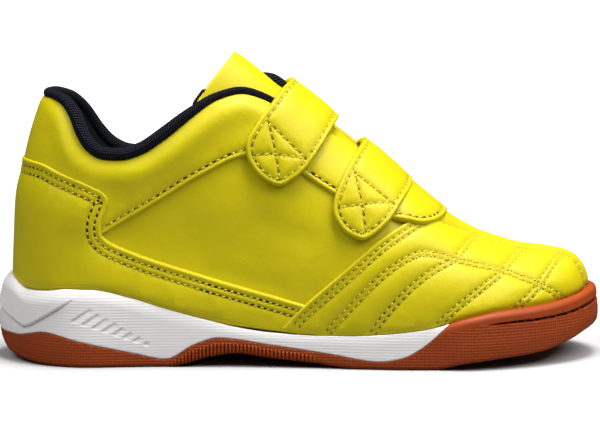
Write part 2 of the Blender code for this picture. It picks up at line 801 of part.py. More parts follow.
def slot_outline(share):
    """One slanted slot of the side window, as its four corners seen from the side."""
    middle = np.array(SLOT_FIRST) + share * (np.array(SLOT_LAST) - np.array(SLOT_FIRST))
    along = np.array([math.cos(SLOT_SLANT), math.sin(SLOT_SLANT)])
    across = np.array([-along[1], along[0]])
    half_long = (SLOT_LONG + share * (SLOT_SHORT - SLOT_LONG)) / 2.0
    half_wide = SLOT_WIDTH / 2.0
    corners = ((-1, -1), (1, -1), (1, 1), (-1, 1))
    return [middle + along * half_long * a + across * half_wide * b for a, b in corners]


def build_sole():
    wave = add_cutter("wave_for_outsole", side_prism(wave_outline(0.0)))
    wave_lifted = add_cutter("wave_for_midsole", side_prism(wave_outline(GAP)))

    outsole = add_part("outsole", sole_form(), GUM, 0.55)
    cut(outsole, wave, "INTERSECT")
    grooves = []
    for station in HEEL_GROOVES + FOREFOOT_GROOVES:
        grooves.append(tread_groove(station, TREAD_SWEEP, TREAD_WIDTH, TREAD_DEPTH))
    ribs = int((ARCH_RIB_TO - ARCH_RIB_FROM) / ARCH_RIB_PITCH)
    for i in range(ribs):
        grooves.append(tread_groove(ARCH_RIB_FROM + i * ARCH_RIB_PITCH, 0.0, ARCH_RIB_SLOT, ARCH_RIB_DEPTH))
    cut(outsole, add_cutter("tread_grooves", merge_forms(grooves)))

    midsole = add_part("midsole", sole_form(), WHITE, 0.45)
    cut(midsole, wave_lifted)
    v_low = smooth_line(V_STEP, EDGE_STEPS)
    v_band = [*v_low, *[(x, z + V_STEP_WIDTH) for x, z in v_low[::-1]]]
    marks = [side_prism(v_band)]
    marks += [side_prism(slot_outline(i / (SLOTS - 1))) for i in range(SLOTS)]
    side_marks = add_cutter("side_marks", merge_forms(marks))
    cut(side_marks, add_cutter("sole_core", sole_form(STEP_DEPTH)))
    cut(midsole, side_marks)


OPENINGS = (
    collar_cutter("collar_opening_lateral", collar_lateral, -FAR, HEEL_MIDDLE + MIDDLE_OVERLAP),
    collar_cutter("collar_opening_medial", collar_medial, HEEL_MIDDLE - MIDDLE_OVERLAP, FAR),
    throat_cutter(),
)
build_sole()
build_insole()
build_upper(OPENINGS)
build_overlays(OPENINGS)
build_collar_binding()
build_tongue()
build_strap("strap_upper", STRAP_UPPER)
build_strap("strap_lower", STRAP_LOWER)
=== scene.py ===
"""Indoor court shoe for a child's right foot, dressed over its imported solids.

The frame has +X towards the toe, +Y towards the inner side and +Z up, with the floor at z = 0.
Shapes are worked out in millimetres, and MM turns them into metres.
"""

import math

import bpy
import numpy as np
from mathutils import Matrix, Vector, kdtree
from mathutils.geometry import delaunay_2d_cdt


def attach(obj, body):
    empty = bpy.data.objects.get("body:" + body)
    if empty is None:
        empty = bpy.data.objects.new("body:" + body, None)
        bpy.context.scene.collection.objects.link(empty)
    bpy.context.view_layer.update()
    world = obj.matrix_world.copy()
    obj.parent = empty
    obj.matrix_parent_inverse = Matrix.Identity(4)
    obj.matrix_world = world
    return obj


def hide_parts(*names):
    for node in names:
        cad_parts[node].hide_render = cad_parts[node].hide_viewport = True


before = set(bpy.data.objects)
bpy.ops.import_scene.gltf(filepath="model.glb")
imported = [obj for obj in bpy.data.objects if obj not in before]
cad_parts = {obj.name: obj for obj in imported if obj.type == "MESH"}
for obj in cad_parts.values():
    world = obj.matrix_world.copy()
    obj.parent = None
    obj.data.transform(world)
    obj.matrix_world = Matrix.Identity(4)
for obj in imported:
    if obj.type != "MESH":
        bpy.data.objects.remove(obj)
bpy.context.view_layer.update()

# Studio: a pale floor that fills the view, one wide soft light overhead and two weaker ones in front, at the
# toe's and at the heel's side. The camera looks at the outer side of the shoe from a little above.
MM = 0.001
CAMERA_TARGET = Vector((0.35, -2.6, 50.2)) * MM
CAMERA_AWAY = 1100.0 * MM
CAMERA_TILT = math.radians(8.0)
CAMERA_LENS = 188.0
CAMERA_SENSOR = 36.0
CAMERA_CLIP = (0.05, 60.0)
LIGHT_TARGET = Vector((0.0, 0.0, 0.05))
# name, place, size and watts of each light
LIGHTS = (
    ("overhead_light", (0.15, 0.05, 1.5), (0.7, 0.55), 35.0),
    ("toe_side_light", (0.85, -0.6, 1.3), (1.0, 1.0), 22.0),
    ("heel_side_light", (-0.85, -0.55, 1.3), (1.0, 1.0), 13.0),
)
WHITE = (1.0, 1.0, 1.0, 1.0)
WORLD_STRENGTH = 0.05
FLOOR_HALF = 4.0
FLOOR_DROP = 0.02 * MM
FLOOR_SEEN = (0.46, 0.46, 0.46, 1.0)
FLOOR_BOUNCED = (0.25, 0.25, 0.25, 1.0)
FLOOR_MIRRORED = (0.04, 0.04, 0.04, 1.0)
# distances from the shoe's middle between which the floor brightens to white
FLOOR_FADE = (0.12, 0.7)


def set_inputs(tree, node, values):
    """Give a node's inputs their values; the output of another node is linked."""
    for name, value in values.items():
        if isinstance(value, bpy.types.NodeSocket):
            tree.links.new(value, node.inputs[name])
        else:
            node.inputs[name].default_value = value


def add_node(tree, kind, values=None, **settings):
    node = tree.nodes.new(kind)
    for name, setting in settings.items():
        setattr(node, name, setting)
    set_inputs(tree, node, values or {})
    return node


def link_value(tree, operation, first, second):
    return add_node(tree, "ShaderNodeMath", {0: first, 1: second}, operation=operation).outputs["Value"]


def mix_colours(tree, share, first, second):
    sockets = {"Factor": share, "A": first, "B": second}
    return add_node(tree, "ShaderNodeMix", sockets, data_type="RGBA").outputs["Result"]


def object_place(tree):
    return add_node(tree, "ShaderNodeTexCoord").outputs["Object"]


def new_material(name):
    material = bpy.data.materials.new(name)
    material.use_nodes = True
    return material, material.node_tree, material.node_tree.nodes["Principled BSDF"]


scene = bpy.context.scene
scene.view_settings.view_transform = "Standard"
camera_data = bpy.data.cameras.new("camera")
camera_data.lens = CAMERA_LENS
camera_data.sensor_width = CAMERA_SENSOR
camera_data.clip_start, camera_data.clip_end = CAMERA_CLIP
camera = bpy.data.objects.new("camera", camera_data)
look = Vector((0.0, math.cos(CAMERA_TILT), -math.sin(CAMERA_TILT)))
camera.location = CAMERA_TARGET - look * CAMERA_AWAY
camera.rotation_euler = look.to_track_quat("-Z", "Y").to_euler()
scene.collection.objects.link(camera)
scene.camera = camera

for light_name, light_place, light_size, watts in LIGHTS:
    light_data = bpy.data.lights.new(light_name, "AREA")
    light_data.shape = "RECTANGLE"
    light_data.size, light_data.size_y = light_size
    light_data.energy = watts
    light = bpy.data.objects.new(light_name, light_data)
    light.location = light_place
    light.rotation_euler = (LIGHT_TARGET - Vector(light_place)).to_track_quat("-Z", "Y").to_euler()
    scene.collection.objects.link(light)

world = bpy.data.worlds.new("studio")
scene.world = world
world.use_nodes = True
set_inputs(world.node_tree, world.node_tree.nodes["Background"], {"Color": WHITE, "Strength": WORLD_STRENGTH})

floor_mesh = bpy.data.meshes.new("floor")
floor_signs = ((-1, -1), (1, -1), (1, 1), (-1, 1))
floor_corners = [(x * FLOOR_HALF, y * FLOOR_HALF, -FLOOR_DROP) for x, y in floor_signs]
floor_mesh.from_pydata(floor_corners, [], [(0, 1, 2, 3)])
floor_paint, floor_tree, floor_shader = new_material("pale_floor")
floor_rays = add_node(floor_tree, "ShaderNodeLightPath")
floor_sight = floor_rays.outputs["Is Camera Ray"]
floor_dull = mix_colours(floor_tree, floor_rays.outputs["Is Glossy Ray"], FLOOR_BOUNCED, FLOOR_MIRRORED)
floor_far = add_node(floor_tree, "ShaderNodeVectorMath", {0: object_place(floor_tree)}, operation="LENGTH")
floor_ramp = add_node(floor_tree, "ShaderNodeMapRange", {
    "Value": floor_far.outputs["Value"],
    "From Min": FLOOR_FADE[0],
    "From Max": FLOOR_FADE[1],
})
set_inputs(floor_tree, floor_shader, {
    "Base Color": mix_colours(floor_tree, floor_sight, floor_dull, FLOOR_SEEN),
    "Roughness": 0.9,
    "Specular IOR Level": 0.1,
    "Emission Color": WHITE,
    "Emission Strength": link_value(floor_tree, "MULTIPLY", floor_ramp.outputs["Result"], floor_sight),
})
floor_mesh.materials.append(floor_paint)
floor = bpy.data.objects.new("floor", floor_mesh)
scene.collection.objects.link(floor)

# Quarters: the thin synthetic leather base of the upper, pulled over a last and open at collar and throat.
# Every other leather layer lies on it, so the last's own form and its soft creases are set out here.
HEEL_BACK = -98.3
TOE_TIP = 101.0
HEEL_ROUND = 27.0
TOE_ROUND = 46.0
HEEL_LEAN = 7.0
HEEL_LEAN_FROM = 50.0
HEEL_LEAN_RISE = 41.0
HEEL_LEAN_REACH = 50.0
HEEL_SLOPE = 0.045
HEEL_SLOPE_FROM = 28.0
# station, ridge's place across, half-widths to the lateral and medial side, sole edge, ridge height, fullness
LAST = np.array((
    (-98.3, -2.6, 25.8, 25.4, 17.5, 112.0, 2.1),
    (-75.0, -2.6, 26.7, 26.2, 17.0, 120.0, 2.1),
    (-50.0, -2.3, 26.5, 25.5, 15.5, 121.0, 2.1),
    (-22.0, -1.6, 27.5, 25.5, 13.5, 108.5, 2.1),
    (0.0, -0.8, 30.0, 27.5, 11.0, 90.5, 2.1),
    (20.0, -0.1, 33.5, 31.0, 9.5, 74.0, 2.15),
    (40.0, 0.4, 35.8, 33.8, 9.0, 56.5, 2.3),
    (55.0, 0.8, 36.0, 34.8, 9.3, 45.0, 2.4),
    (70.0, 1.2, 34.5, 33.5, 10.5, 38.4, 2.4),
    (80.0, 1.5, 33.4, 32.4, 11.6, 36.1, 2.4),
    (88.0, 1.8, 32.8, 31.8, 12.3, 35.3, 2.4),
    (94.0, 2.0, 32.3, 31.3, 12.8, 33.9, 2.4),
    (98.0, 2.1, 32.0, 31.0, 13.1, 30.6, 2.4),
    (100.2, 2.2, 32.0, 31.0, 13.2, 25.6, 2.4),
    (101.0, 2.2, 32.0, 31.0, 13.3, 22.5, 2.4),
))
# station, height of the collar's edge on the lateral and on the medial side
COLLAR_RIM = np.array((
    (-112.0, 91.4, 91.4),
    (-87.0, 91.2, 91.2),
    (-82.0, 89.8, 89.0),
    (-78.5, 85.8, 85.2),
    (-76.0, 80.0, 81.4),
    (-72.5, 74.7, 76.0),
    (-67.0, 71.8, 70.6),
    (-61.0, 71.5, 68.0),
    (-54.0, 73.4, 67.4),
    (-46.0, 78.5, 70.2),
    (-36.0, 86.3, 79.0),
    (-28.0, 91.4, 87.4),
    (-20.0, 93.3, 92.6),
    (-12.0, 91.0, 95.2),
    (-4.0, 86.0, 95.4),
))
# station, the throat's edges as distances from the ridge
THROAT = np.array((
    (-34.0, 14.5, 16.0),
    (-10.0, 12.6, 6.6),
    (5.0, 12.0, 7.0),
    (20.0, 9.5, 7.5),
    (29.0, 8.0, 7.5),
    (34.0, 6.0, 5.6),
    (37.0, 0.0, 0.0),
))
RIM_LOWEST = 0.98
RIM_HALVINGS = 36
RIM_POINTS = 1601
RIM_SOFT_POINTS = 31
BELL = 2.0
# station and height of the sole's top edge, where the upper turns in
SOLE_RIM = np.array((
    (-105.0, 29.1),
    (-101.0, 28.8),
    (-94.0, 25.3),
    (-86.0, 25.9),
    (-80.0, 26.8),
    (-72.0, 26.8),
    (-58.0, 23.9),
    (-45.0, 19.8),
    (-30.0, 15.8),
    (-22.0, 13.8),
    (-10.0, 12.0),
    (6.0, 11.2),
    (20.0, 11.4),
    (32.0, 12.3),
    (46.0, 14.3),
    (57.0, 17.6),
    (67.0, 19.5),
    (84.0, 20.7),
    (94.0, 22.0),
    (100.0, 23.4),
    (105.0, 24.6),
))
FOOT_TURN = 2.2
FOOT_TUCK = 1.2
# both ends seen from the side, depth and width of a soft hollow
CREASES = (
    (-48.0, 42.0, -14.0, 40.0, 0.9, 12.0),
    (-64.5, 62.0, -62.0, 46.0, 0.9, 7.0),
    (-76.5, 42.0, -78.0, 28.0, 1.2, 5.5),
    (-45.0, 62.0, -36.0, 40.0, 0.5, 9.0),
    (-12.0, 50.0, 2.0, 44.0, 0.5, 5.0),
    (-30.0, 33.0, -8.0, 27.0, 0.4, 4.0),
    (62.0, 24.0, 72.0, 29.0, 0.35, 3.5),
)
CREASE_FROM = 3.0
CREASE_FADE = 12.0
CORE_LONG = 0.9
CORE_HIGH = 0.25
QUARTER_COLUMNS = 340
QUARTER_ROWS = 64
QUARTER_FRONT = 48.0
QUARTER_SHORT = 0.005
QUARTER_TUCK = 1.2
QUARTER_TUCK_POWER = 8
LEATHER_YELLOW = (0.55, 0.466, 0.001, 1.0)
LEATHER_SHADE = (0.23, 0.175, 0.001, 1.0)
LEATHER_BUMP = 0.35
LEATHER_GLOSS = 0.22
LEATHER_ROUGH = 0.4
LEATHER_ROUGH_CLOUD = 0.14
CLOUD_SCALE = 45.0
CLOUD_SHADE = 0.1
# how far the painted shade of seam troughs and panel skirts darkens the leather
SEAM_SHADE = 0.8
GRAIN_DEEP = 0.08
PEBBLE_SCALE = 1050.0
PEBBLE_ROUND = 0.3
PEBBLE_HEIGHT = 2.2
WRINKLE_SCALE = 2600.0
SWELL_SCALE = 170.0
SWELL_HEIGHT = 7.0


def ramp(value, start, reach):
    """0 at start, 1 a reach further on, straight between and level past both; a negative reach runs back."""
    return np.clip((value - start) / reach, 0.0, 1.0)


def quarter_round(value, start, reach):
    """The ramp as a quarter circle, steep at start and level at its end."""
    return np.sqrt(1.0 - (1.0 - ramp(value, start, reach)) ** 2)


def smooth_curve(xs, ys):
    """A smooth curve through a table's rows that never overshoots them and stays level past both ends."""
    step = np.diff(xs)
    slope = np.diff(ys) / step
    tangent = np.concatenate([slope[:1], np.zeros(len(xs) - 2), slope[-1:]])
    for i in range(1, len(xs) - 1):
        if slope[i - 1] * slope[i] > 0.0:
            before = 2.0 * step[i] + step[i - 1]
            after = step[i] + 2.0 * step[i - 1]
            tangent[i] = (before + after) / (before / slope[i - 1] + after / slope[i])

    def curve(x):
        x = np.clip(np.asarray(x, float), xs[0], xs[-1])
        k = np.clip(np.searchsorted(xs, x, side="right") - 1, 0, len(xs) - 2)
        t = (x - xs[k]) / step[k]
        level = ys[k] * (1.0 + 2.0 * t) * (1.0 - t) ** 2 + ys[k + 1] * t * t * (3.0 - 2.0 * t)
        return level + step[k] * (tangent[k] * t * (1.0 - t) ** 2 + tangent[k + 1] * t * t * (t - 1.0))

    return curve


def curves(table):
    """A smooth curve for each further column of a table over its first one."""
    return [smooth_curve(table[:, 0], column) for column in table.T[1:]]


centre_of, lateral_of, medial_of, base_of, top_of, fullness_of = curves(LAST)
rim_of = curves(SOLE_RIM)[0]
rim_lateral, rim_medial = curves(COLLAR_RIM)
throat_lateral, throat_medial = curves(THROAT)


def station_at(share):
    """Station for a share from 0 at the heel's back to 1 at the toe, closer together at both round ends."""
    return HEEL_BACK + (TOE_TIP - HEEL_BACK) * (1.0 - np.cos(math.pi * share)) / 2.0


def share_at(station):
    part = ramp(np.asarray(station, float), HEEL_BACK, TOE_TIP - HEEL_BACK)
    return np.arccos(1.0 - 2.0 * part) / math.pi


def last_point(x, rise):
    """Point on the last: rise is -1 at the lateral sole edge, 0 on the ridge and 1 at the medial one."""
    round_ends = quarter_round(x, HEEL_BACK, HEEL_ROUND) * quarter_round(x, TOE_TIP, -TOE_ROUND)
    angle = (1.0 - np.clip(np.abs(rise), 0.0, 1.0)) * math.pi / 2.0
    power = 2.0 / fullness_of(x)
    half = np.where(rise < 0.0, lateral_of(x), medial_of(x)) * round_ends
    y = centre_of(x) + np.sign(rise) * half * np.cos(angle) ** power
    z = base_of(x) + (top_of(x) - base_of(x)) * np.sin(angle) ** power
    climb = np.clip((z - HEEL_LEAN_FROM) / HEEL_LEAN_RISE, 0.0, None)
    near = 1.0 - ramp(x, HEEL_BACK, HEEL_LEAN_REACH)
    lean = HEEL_SLOPE * np.clip(z - HEEL_SLOPE_FROM, 0.0, None) + HEEL_LEAN * climb ** 2
    return np.stack([x + lean * near ** 2 * (3.0 - 2.0 * near), y, z], axis=-1)


def round_heel(chart):
    """Chart unrolled at the heel: from the lateral toe at -1 round to the medial toe at 1, and up."""
    side = np.where(chart[..., 0] < 0.0, -1.0, 1.0)
    return last_point(station_at(np.abs(chart[..., 0])), side * (1.0 - np.clip(chart[..., 1], 0.0, 1.0)))


def unit(vectors):
    return vectors / np.linalg.norm(vectors, axis=-1, keepdims=True)


def chart_steps(surface, chart):
    """How the surface runs for a step along each direction of its chart."""
    small_a = np.array([2e-4, 0.0])
    small_b = np.array([0.0, 1e-3])
    along = (surface(chart + small_a) - surface(chart - small_a)) / (2.0 * small_a[0])
    across = (surface(chart + small_b) - surface(chart - small_b)) / (2.0 * small_b[1])
    return along, across


def crease_depth(point):
    """Depth of the soft hollows at points of the last, as seen from the side; they fade near the sole."""
    x = point[..., 0]
    z = point[..., 2]
    depth = np.zeros(x.shape)
    for x0, z0, x1, z1, deep, wide in CREASES:
        run = (x - x0) * (x1 - x0) + (z - z0) * (z1 - z0)
        part = np.clip(run / ((x1 - x0) ** 2 + (z1 - z0) ** 2), 0.0, 1.0)
        away = (x - x0 - part * (x1 - x0)) ** 2 + (z - z0 - part * (z1 - z0)) ** 2
        depth += deep * np.exp(-away / wide ** 2)
    return depth * ramp(z - base_of(x), CREASE_FROM, CREASE_FADE)


def lifted(surface, chart, lift):
    """Points at a height above the last's face, and the normals there, turned away from its core."""
    normal = unit(np.cross(*chart_steps(surface, chart)))
    point = surface(chart)
    x = point[..., 0]
    core_height = (1.0 - CORE_HIGH) * base_of(x) + CORE_HIGH * top_of(x)
    core = np.stack([CORE_LONG * x, centre_of(x), core_height], axis=-1)
    normal *= np.where(np.sum(normal * (point - core), axis=-1) < 0.0, -1.0, 1.0)[..., None]
    foot = 1.0 - ramp(point[..., 2], rim_of(x), FOOT_TURN)
    height = np.broadcast_to(lift, point.shape[:-1]) - crease_depth(point) - FOOT_TUCK * foot ** 2
    return point + normal * height[..., None], normal


def find_rim(shares):
    """Height on the chart of the leather's upper edge, by halving, for shares round the heel."""
    station = station_at(np.abs(shares))
    side = np.where(shares < 0.0, -1.0, 1.0)
    low = np.full_like(station, RIM_LOWEST)
    high = np.zeros_like(station)
    for _ in range(RIM_HALVINGS):
        middle = (low + high) / 2.0
        x, y, z = last_point(station, side * middle).T
        rim = np.where(side < 0.0, rim_lateral(x), rim_medial(x))
        gap = np.where(side < 0.0, throat_lateral(x), throat_medial(x))
        under_rim = (x > COLLAR_RIM[-1, 0]) | (z < rim)
        beside_throat = (x < THROAT[0, 0]) | (np.abs(y - centre_of(x)) > gap)
        kept = under_rim & beside_throat
        low = np.where(kept, middle, low)
        high = np.where(kept, high, middle)
    return 1.0 - low


def soften(values, reach, count, past):
    """A row of values evened out by a bell of so many points; past says how it goes on at its ends."""
    bell = np.exp(-np.linspace(-reach, reach, count) ** 2)
    return np.convolve(np.pad(values, count // 2, mode=past), bell / bell.sum(), mode="valid")


throat_end = float(share_at(THROAT[-1, 0]))
rim_shares = np.linspace(-throat_end, throat_end, RIM_POINTS)
rim_heights = soften(find_rim(rim_shares), BELL, RIM_SOFT_POINTS, "edge")


def rim_height(share):
    return np.interp(share, rim_shares, rim_heights)


def upper_edge(front, count):
    """Even shares round the heel between both sides of a front station, and the leather's edge over them."""
    shares = np.linspace(-share_at(front), share_at(front), count)
    return shares, np.where(np.abs(shares) < throat_end, rim_height(shares), 1.0)


def grid_of(*values):
    """Points of a grid from their coordinates; a value for a whole row or column is spread over it."""
    return np.stack(np.broadcast_arrays(*values), axis=-1)


def grid_faces(columns, rows, closed=False):
    """Quads of a grid of points stored column by column; closed joins the last column to the first."""
    count = columns if closed else columns - 1
    i, j = np.meshgrid(np.arange(count), np.arange(rows - 1), indexing="ij")
    k = (i + 1) % columns
    corners = [i * rows + j, k * rows + j, k * rows + j + 1, i * rows + j + 1]
    return np.stack(corners, axis=-1).reshape(-1, 4)


def face_out(points, faces, outward):
    """Turn all faces over if most of them look against the outward directions of their points."""
    corner = np.asarray(points)[np.array([face[:3] for face in faces])]
    looks = np.cross(corner[:, 1] - corner[:, 0], corner[:, 2] - corner[:, 0])
    agree = np.sum(looks * np.asarray(outward)[np.array([face[0] for face in faces])])
    return [tuple(face)[::-1] for face in faces] if agree < 0.0 else [tuple(face) for face in faces]


def grid_mesh(points, outward, closed=False):
    """Points of a grid in one row, and quads between them that look outward."""
    faces = grid_faces(points.shape[0], points.shape[1], closed)
    outward = np.broadcast_to(outward, points.shape).reshape(-1, 3)
    points = points.reshape(-1, 3)
    return points, face_out(points, faces, outward)


def add_piece(name, points, faces, materials, slots=None, shade_marks=None, threads=None):
    """A smooth piece in metres, with a material for each face, a painted-shade mark for each point and a
    thread map.
    """
    mesh = bpy.data.meshes.new(name)
    mesh.from_pydata((np.asarray(points) * MM).tolist(), [], [list(map(int, face)) for face in faces])
    mesh.shade_smooth()
    for material in materials:
        mesh.materials.append(material)
    if slots is not None:
        mesh.polygons.foreach_set("material_index", np.asarray(slots, dtype=np.int32))
    if shade_marks is not None:
        # The 'seam' attribute is painted shade: a little darker in the seam troughs, and dark on each panel's
        # skirt.
        mesh.attributes.new("seam", "FLOAT", "POINT").data.foreach_set("value", np.asarray(shade_marks, np.float32))
    if threads is not None:
        corners = np.empty(len(mesh.loops), dtype=np.int32)
        mesh.loops.foreach_get("vertex_index", corners)
        layer = mesh.uv_layers.new(name="threads")
        layer.data.foreach_set("uv", np.asarray(threads, np.float32).reshape(-1, 2)[corners].ravel())
    piece = bpy.data.objects.new(name, mesh)
    scene.collection.objects.link(piece)
    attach(piece, "root")
    return piece


def new_group(name, colours, values, results):
    """A node group that takes colours and values, and gives one colour and some results."""
    tree = bpy.data.node_groups.new(name, "ShaderNodeTree")
    for labels, way, kind in (
        (colours, "INPUT", "NodeSocketColor"),
        (values, "INPUT", "NodeSocketFloat"),
        (("Colour",), "OUTPUT", "NodeSocketColor"),
        (results, "OUTPUT", "NodeSocketFloat"),
    ):
        for label in labels:
            tree.interface.new_socket(label, in_out=way, socket_type=kind)
    return tree, tree.nodes.new("NodeGroupInput").outputs, tree.nodes.new("NodeGroupOutput")


def noise_at(tree, scale, detail):
    sockets = {"Vector": object_place(tree), "Scale": scale, "Detail": detail}
    return add_node(tree, "ShaderNodeTexNoise", sockets).outputs["Fac"]


def weighed(tree, total, *parts):
    """A total with some outputs added to it, each times its weight."""
    for part, weight in parts:
        sockets = {0: part, 1: weight, 2: total}
        total = add_node(tree, "ShaderNodeMath", sockets, operation="MULTIPLY_ADD").outputs["Value"]
    return total


def skin_material(name, group, values, bump, deep, finish):
    """A material that takes its colour, its relief and any uneven roughness from a skin group."""
    material, tree, shader = new_material(name)
    skin = add_node(tree, "ShaderNodeGroup", values, node_tree=group)
    # The seam attribute brings in the painted shade of seam troughs and panel skirts.
    if "Seam" in skin.inputs:
        sewn = add_node(tree, "ShaderNodeAttribute", attribute_name="seam").outputs["Fac"]
        set_inputs(tree, skin, {"Seam": sewn})
    if "Roughness" in skin.outputs:
        set_inputs(tree, shader, {"Roughness": skin.outputs["Roughness"]})
    sockets = {"Strength": bump, "Distance": deep * MM, "Height": skin.outputs["Height"]}
    relief = add_node(tree, "ShaderNodeBump", sockets).outputs["Normal"]
    set_inputs(tree, shader, {"Base Color": skin.outputs["Colour"], "Normal": relief, **finish})
    return material


# The coated leather's skin: small pebbled cells, finer wrinkles, faint cloudiness, and painted shade in the
# sewn valleys and on each panel's skirt.
leather_skin, leather_in, leather_out = new_group(
    "leather_skin", ("Colour", "Shade"), ("Seam",), ("Roughness", "Height")
)
cells = add_node(
    leather_skin, "ShaderNodeTexVoronoi",
    {"Vector": object_place(leather_skin), "Scale": PEBBLE_SCALE, "Randomness": 1.0},
    feature="DISTANCE_TO_EDGE",
)
pebble = link_value(leather_skin, "MINIMUM", cells.outputs["Distance"], PEBBLE_ROUND)
wrinkle = noise_at(leather_skin, WRINKLE_SCALE, detail=2.0)
swell = noise_at(leather_skin, SWELL_SCALE, detail=2.0)
cloud = noise_at(leather_skin, CLOUD_SCALE, detail=2.0)
shade = weighed(leather_skin, 0.0, (cloud, CLOUD_SHADE), (leather_in["Seam"], SEAM_SHADE))
set_inputs(leather_skin, leather_out, {
    "Colour": mix_colours(leather_skin, shade, leather_in["Colour"], leather_in["Shade"]),
    "Roughness": weighed(leather_skin, LEATHER_ROUGH, (cloud, LEATHER_ROUGH_CLOUD)),
    "Height": weighed(leather_skin, wrinkle, (pebble, PEBBLE_HEIGHT), (swell, SWELL_HEIGHT)),
})
yellow_leather = skin_material(
    "yellow_leather", leather_skin, {"Colour": LEATHER_YELLOW, "Shade": LEATHER_SHADE},
    LEATHER_BUMP, GRAIN_DEEP, {"Specular IOR Level": LEATHER_GLOSS},
)

quarter_share, quarter_top = upper_edge(QUARTER_FRONT, QUARTER_COLUMNS)
quarter_up = (quarter_top[:, None] - QUARTER_SHORT) * np.linspace(0.0, 1.0, QUARTER_ROWS)
quarter_tuck = QUARTER_TUCK * ramp(quarter_up, 0.0, quarter_top[:, None]) ** QUARTER_TUCK_POWER
quarter_mesh = grid_mesh(*lifted(round_heel, grid_of(quarter_share[:, None], quarter_up), -quarter_tuck))
quarters = add_piece("quarters", *quarter_mesh, [yellow_leather])
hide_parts("upper")

# Lining: black brushed textile inside the whole upper, padded with foam for a finger's width under the
# collar. It is glued to the quarters and runs down to the insole's edge.
LINING_COLUMNS = 260
LINING_ROWS = 40
LINING_FRONT = 96.0
LINING_DEPTH = 2.0
LINING_SHORT = 0.07
LINING_SHORT_FROM = -6.0
LINING_SHORT_REACH = 6.0
LINING_DOWN = 0.98
LINING_DOWN_POWER = 1.3
PAD_DEPTH = 2.6
PAD_MIDDLE = 9.0
PAD_REACH = 9.0
PAD_FRONT = 5.0
PAD_FADE = 30.0
KNIT_ALONG = 0.95
KNIT_ACROSS = 0.8
KNIT_SLANT = 0.45
KNIT_LOOP = 0.6
KNIT_LIGHT = 0.4
KNIT_DEEP = 0.25
KNIT_FINISH = {"Roughness": 0.85, "Specular IOR Level": 0.12}
LINING_BUMP = 0.5
LINING_COLOURS = {"Colour": (0.008, 0.0085, 0.012, 1.0), "Light": (0.024, 0.025, 0.034, 1.0)}


def thread_map(tree):
    """The two values of a piece's thread map."""
    place = add_node(tree, "ShaderNodeUVMap", uv_map="threads").outputs["UV"]
    return add_node(tree, "ShaderNodeSeparateXYZ", {"Vector": place}).outputs


def waves(tree, place, pitch):
    return link_value(tree, "SINE", link_value(tree, "MULTIPLY", place, math.tau / pitch), 0.0)


knit_threads, knit_in, knit_out = new_group("knit_threads", ("Colour", "Light"), (), ("Height",))
knit_map = thread_map(knit_threads)
rib = waves(knit_threads, weighed(knit_threads, knit_map["X"], (knit_map["Y"], KNIT_SLANT)), KNIT_ALONG)
knit = weighed(knit_threads, rib, (waves(knit_threads, knit_map["Y"], KNIT_ACROSS), KNIT_LOOP))
knit_light = link_value(knit_threads, "MULTIPLY", knit, KNIT_LIGHT)
set_inputs(knit_threads, knit_out, {
    "Colour": mix_colours(knit_threads, knit_light, knit_in["Colour"], knit_in["Light"]),
    "Height": knit,
})
black_lining = skin_material(
    "black_lining", knit_threads, LINING_COLOURS, LINING_BUMP, KNIT_DEEP, KNIT_FINISH
)


def run_along(points):
    """Length run along a row of points, from 0 at its first."""
    return np.concatenate([[0.0], np.cumsum(np.linalg.norm(np.diff(points, axis=0), axis=1))])


lining_share, lining_top = upper_edge(LINING_FRONT, LINING_COLUMNS)
lining_short = ramp(station_at(np.abs(lining_share)), LINING_SHORT_FROM, LINING_SHORT_REACH)
lining_top = lining_top - LINING_SHORT * lining_short
lining_down = np.linspace(0.0, 1.0, LINING_ROWS) ** LINING_DOWN_POWER
lining_chart = grid_of(lining_share[:, None], lining_top[:, None] * (1.0 - lining_down * LINING_DOWN))
lining_face = round_heel(lining_chart)
lining_drop = np.linalg.norm(lining_face - lining_face[:, :1], axis=-1)
lining_pad = PAD_DEPTH * np.exp(-(((lining_drop - PAD_MIDDLE) / PAD_REACH) ** 2))
lining_pad *= ramp(lining_face[..., 0], PAD_FRONT, -PAD_FADE)
lining_points, lining_out = lifted(round_heel, lining_chart, -LINING_DEPTH - lining_pad)
lining_threads = grid_of(run_along(lining_face[:, 0])[:, None], lining_drop)
lining = add_piece("lining", *grid_mesh(lining_points, -lining_out), [black_lining], threads=lining_threads)

# Heel counter with its long foxing: one yellow leather panel round the heel, sewn down by two rows along
# its top edge. Its front ends run under the vamp on both sides.
COUNTER_THICK = 1.8
FOXING_THICK = 1.25
FOXING_FROM = -45.0
FOXING_REACH = 38.0
COUNTER_SEAMS = (2.5, 4.9)
COUNTER_PUFF = 0.7
COUNTER_REACH = 5.0
HIDDEN_FOOT = 0.002
COUNTER_END_POINTS = 20
COUNTER_FOOT_POINTS = 400
COUNTER_FOLD_POINTS = 500
# station and height of the top edge seen from the side
COUNTER_EDGE = (
    (-112.0, 70.8),
    (-90.0, 69.6),
    (-82.0, 66.8),
    (-70.5, 62.3),
    (-66.2, 59.6),
    (-65.1, 57.0),
    (-66.2, 53.2),
    (-67.6, 49.2),
    (-67.7, 46.4),
    (-65.9, 44.0),
    (-59.3, 40.6),
    (-34.0, 31.9),
    (0.0, 22.2),
    (5.0, 20.8),
)
SIDE_STEP = 0.5
SIDE_ROUNDS = 10
HEEL_MIDDLE = -0.004
LINE_STEP = 0.7
RING_STEP = 0.8
FOLD_STEP = 1.0
FINE_EDGE_STEP = 0.06
FINE_SEAM_STEP = 0.12
PANEL_SPACING = 1.7
